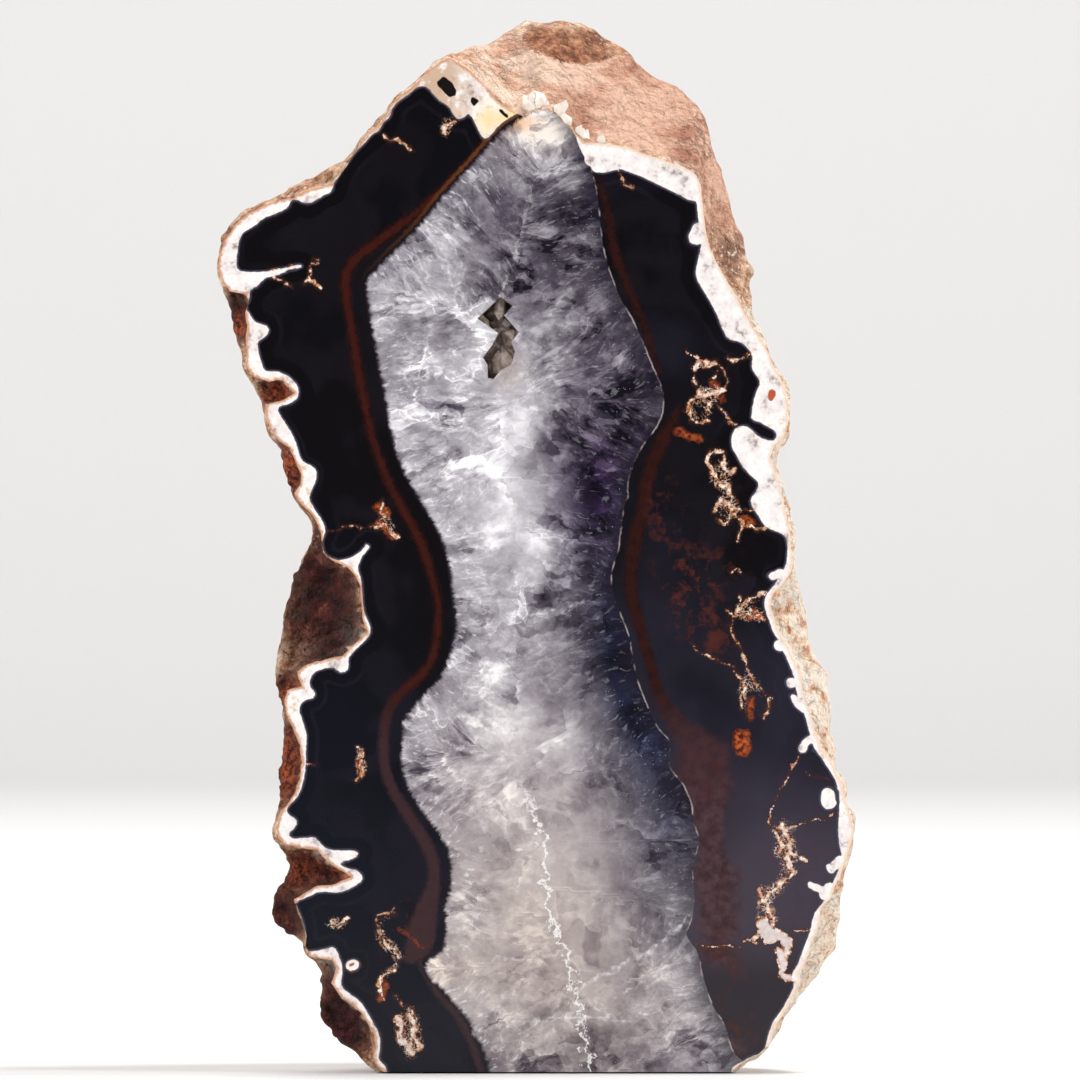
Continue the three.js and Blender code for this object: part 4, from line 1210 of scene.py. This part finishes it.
ember_tone = f.blend(
    f.between(f.noise(mm_place, 0.6, 5, 0.7), 0.42, 0.58), tone(86, 28, 16), tone(206, 104, 60)
)
pocket_tone = f.blend(f.field("ember"), pocket_tone, ember_tone)
rind_tone = f.blend(f.field("pocket"), rind_tone, pocket_tone)
# Painted shade darkens the concave places of the rind, and a painted highlight lightens its proud edges
# outside the pockets
rind_tone = f.tint(f.between(crevice, 0.5, 0.42, 0, 0.75), rind_tone, tone(120, 84, 66))
proud_edge_highlight = f.between(crevice, 0.52, 0.6, 0, 0.5) * f.between(f.field("pocket"), 0.6, 0.2)
rind_tone = f.blend(proud_edge_highlight, rind_tone, tone(252, 232, 210))
f.shade("Base Color", rind_tone)
f.shade("Roughness", 0.8)
f.shade("Specular IOR Level", 0.3)
gouges = abs(f.noise(flow, 0.2, 4, 0.55) - 0.5)
gouges = f.between(gouges, 0.025, 0.0, 0, -0.22) * f.between(f.noise(mm_place, 0.07, 2), 0.5, 0.62)
relief = f.noise(mm_place, 0.3, 5, 0.58) + gouges
f.bump(relief, 0.0075, 1.0)

# The sawn base: dull, dark outside and pale in the middle, with saw marks
f = Finish(stone.data.materials[SAWN])
mm_place = f.millimetres()
marks = f.node("TexWave", "Fac", {"Vector": mm_place, "Scale": 0.5, "Distortion": 1.5}, bands_direction="X")
pale = f.between(abs(f.axis(mm_place, "X")) + f.noise(mm_place, 0.1, 4) * 24, 48, 34)
sawn = f.blend(pale, tone(66, 56, 58), tone(168, 162, 158))
sawn = f.blend(marks * 0.2, sawn, tone(120, 108, 104))
f.shade("Base Color", sawn)
f.shade("Roughness", 0.6)
f.bump(marks, 0.0002, 0.4)

f = Finish(stone.data.materials[CREAM])
f.shade("Base Color", f.blend(f.noise(f.millimetres(), 0.4, 3), tone(240, 230, 216), tone(208, 196, 188)))
f.shade("Roughness", 0.35)

pick(stone)
bpy.ops.object.shade_smooth_by_angle(angle=math.radians(42))
for finish in (POLISHED, SAWN):
    stone.active_material_index = finish
    bpy.ops.object.mode_set(mode="EDIT")
    bpy.ops.mesh.select_mode(type="FACE")
    bpy.ops.mesh.select_all(action="DESELECT")
    bpy.ops.object.material_slot_select()
    bpy.ops.mesh.region_to_loop()
    bpy.ops.mesh.mark_sharp()
    bpy.ops.object.mode_set(mode="OBJECT")
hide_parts("agate_geode")
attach(stone, "root")


# THE CRYSTALS. They line the small hollow in the quartz: a thin crust with six-sided grey-brown
# points of 2 to 4 mm radius that grow in from its walls and its back. They are plain grey quartz.
def at_depth(depth):
    """The size of the hollow's room at a depth behind the face."""
    depths, sizes = np.array(ROOM).T
    return np.interp(depth, depths, sizes)


crust_places, crust_faces = [], []
# The crust's outer skin and then its inner one: depth in millimetres and share of the room's size
LINING = [
    (2.2, 0.99), (4, 0.96), (8, 0.96), (13, 0.95), (15.6, 0.95),
    (15.3, 0.85), (12, 0.83), (8, 0.85), (4, 0.88), (2.2, 0.93),
]
outer_levels = 5
for depth, share in LINING:
    ring = HOLLOW_MIDDLE + (mouth[::2] - HOLLOW_MIDDLE) * at_depth(depth) * share
    crust_places += [Vector((x, face_y * MM + depth, z)) for x, z in ring]
round_mouth = len(mouth[::2])
for level in range(len(LINING)):
    if level == outer_levels - 1:
        continue
    after = (level + 1) % len(LINING)
    for k in range(round_mouth):
        a, b = level * round_mouth + k, level * round_mouth + (k + 1) % round_mouth
        c, d = after * round_mouth + k, after * round_mouth + (k + 1) % round_mouth
        crust_faces.append((a, b, d, c))
_, lid = filled([mouth[::2]], np.empty((0, 2)))
for level in (outer_levels - 1, outer_levels):
    crust_faces += [tuple(level * round_mouth + int(v) for v in t) for t in lid]
POINTS = 40
STEPS = (0.618034, 0.7548777, 0.56984)  # from point to point, as shares that never fall into line
for n in range(POINTS):
    way_round, deep, wide = ((n * step) % 1 for step in STEPS)
    place = mouth[int(way_round * len(mouth))]
    depth = 3.2 + 9.5 * deep
    wall = HOLLOW_MIDDLE + (place - HOLLOW_MIDDLE) * at_depth(depth) * 0.93
    reach = HOLLOW_MIDDLE - wall
    radius = 1.5 + 1.3 * wide
    way = (reach[0], -0.25 * np.hypot(*reach), reach[1] + 2 * math.sin(n * 2.3))
    length = 0.5 * np.hypot(*reach) + radius * 0.9
    root = Vector((wall[0], face_y * MM + depth, wall[1]))
    points, faces = crystal_point(root, way, radius, length, n * 1.3)
    crust_faces += [tuple(len(crust_places) + v for v in face) for face in faces]
    crust_places += points
# Larger points from the back: pixel place, millimetres in radius, depth of the tip, lean
BACK_POINTS = [
    (505, 306, 3.4, 4.2, (0.5, -1, 0.35)), (492, 322, 3.2, 3.6, (-0.6, -1, 0.5)),
    (506, 334, 3.6, 4.6, (0.6, -1, 0.1)), (497, 352, 3.8, 3.4, (-0.35, -1, -0.3)),
    (506, 364, 3.0, 5.0, (0.4, -1, -0.5)), (490, 372, 2.6, 4.4, (-0.5, -1, -0.2)),
    (498, 342, 2.4, 6.0, (0.1, -1, 0.6)),
]
for column, row, radius, tip, way in BACK_POINTS:
    x, z = seen([(column, row)])[0]
    end = Vector((x, face_y * MM + tip, z))
    way = Vector(way).normalized()
    length = (14.5 - tip) / -way.y * 0.92
    points, faces = crystal_point(end - way * length, way, radius, length, column * 0.7)
    crust_faces += [tuple(len(crust_places) + v for v in face) for face in faces]
    crust_places += points
crust = add_skin("hollow_crystals", np.array(crust_places) / MM, crust_faces, 0)
pick(crust)
bpy.ops.object.mode_set(mode="EDIT")
bpy.ops.mesh.select_all(action="SELECT")
bpy.ops.mesh.normals_make_consistent(inside=False)
bpy.ops.object.mode_set(mode="OBJECT")
crust_material = bpy.data.materials.new("hollow_quartz")
crust_material.use_nodes = True
f = Finish(crust_material)
mm_place = f.millimetres()
grey = f.ramp(
    f.noise(mm_place, 0.3, 4, 0.6), [(0.35, 92, 78, 70), (0.5, 132, 116, 106), (0.65, 172, 160, 152)]
)
f.shade("Base Color", grey)
f.shade("Roughness", 0.14)
crust.data.materials.append(crust_material)
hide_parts("crystal_crust")
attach(crust, "root")


# THE FLOOR. A plain pale sheet that curves up behind the stone.
bpy.ops.mesh.primitive_plane_add(size=1, location=(0, 0, 0))
floor = bpy.context.object
floor.name = "floor"
FLAT_REACH = 4.8
TURN = 1.2  # radius of the curve, in metres
WIDE = 7
FLOOR_PROFILE = [(-6, 0), (FLAT_REACH, 0)]
for a in np.linspace(0.1, math.pi / 2, 12):
    FLOOR_PROFILE.append((FLAT_REACH + TURN * math.sin(a), TURN - TURN * math.cos(a)))
FLOOR_PROFILE.append((FLAT_REACH + TURN, 5))
sheet_places = [(x, y, z - 0.0004) for y, z in FLOOR_PROFILE for x in (-WIDE, WIDE)]
sheet_faces = [(2 * k, 2 * k + 1, 2 * k + 3, 2 * k + 2) for k in range(len(FLOOR_PROFILE) - 1)]
floor.data.clear_geometry()
floor.data.from_pydata(sheet_places, [], sheet_faces)
floor.data.polygons.foreach_set("use_smooth", [True] * len(sheet_faces))
floor_material = bpy.data.materials.new("pale_paper")
floor_material.use_nodes = True
f = Finish(floor_material)
f.shade("Base Color", tone(226, 224, 222))
f.shade("Roughness", 0.7)
floor.data.materials.append(floor_material)
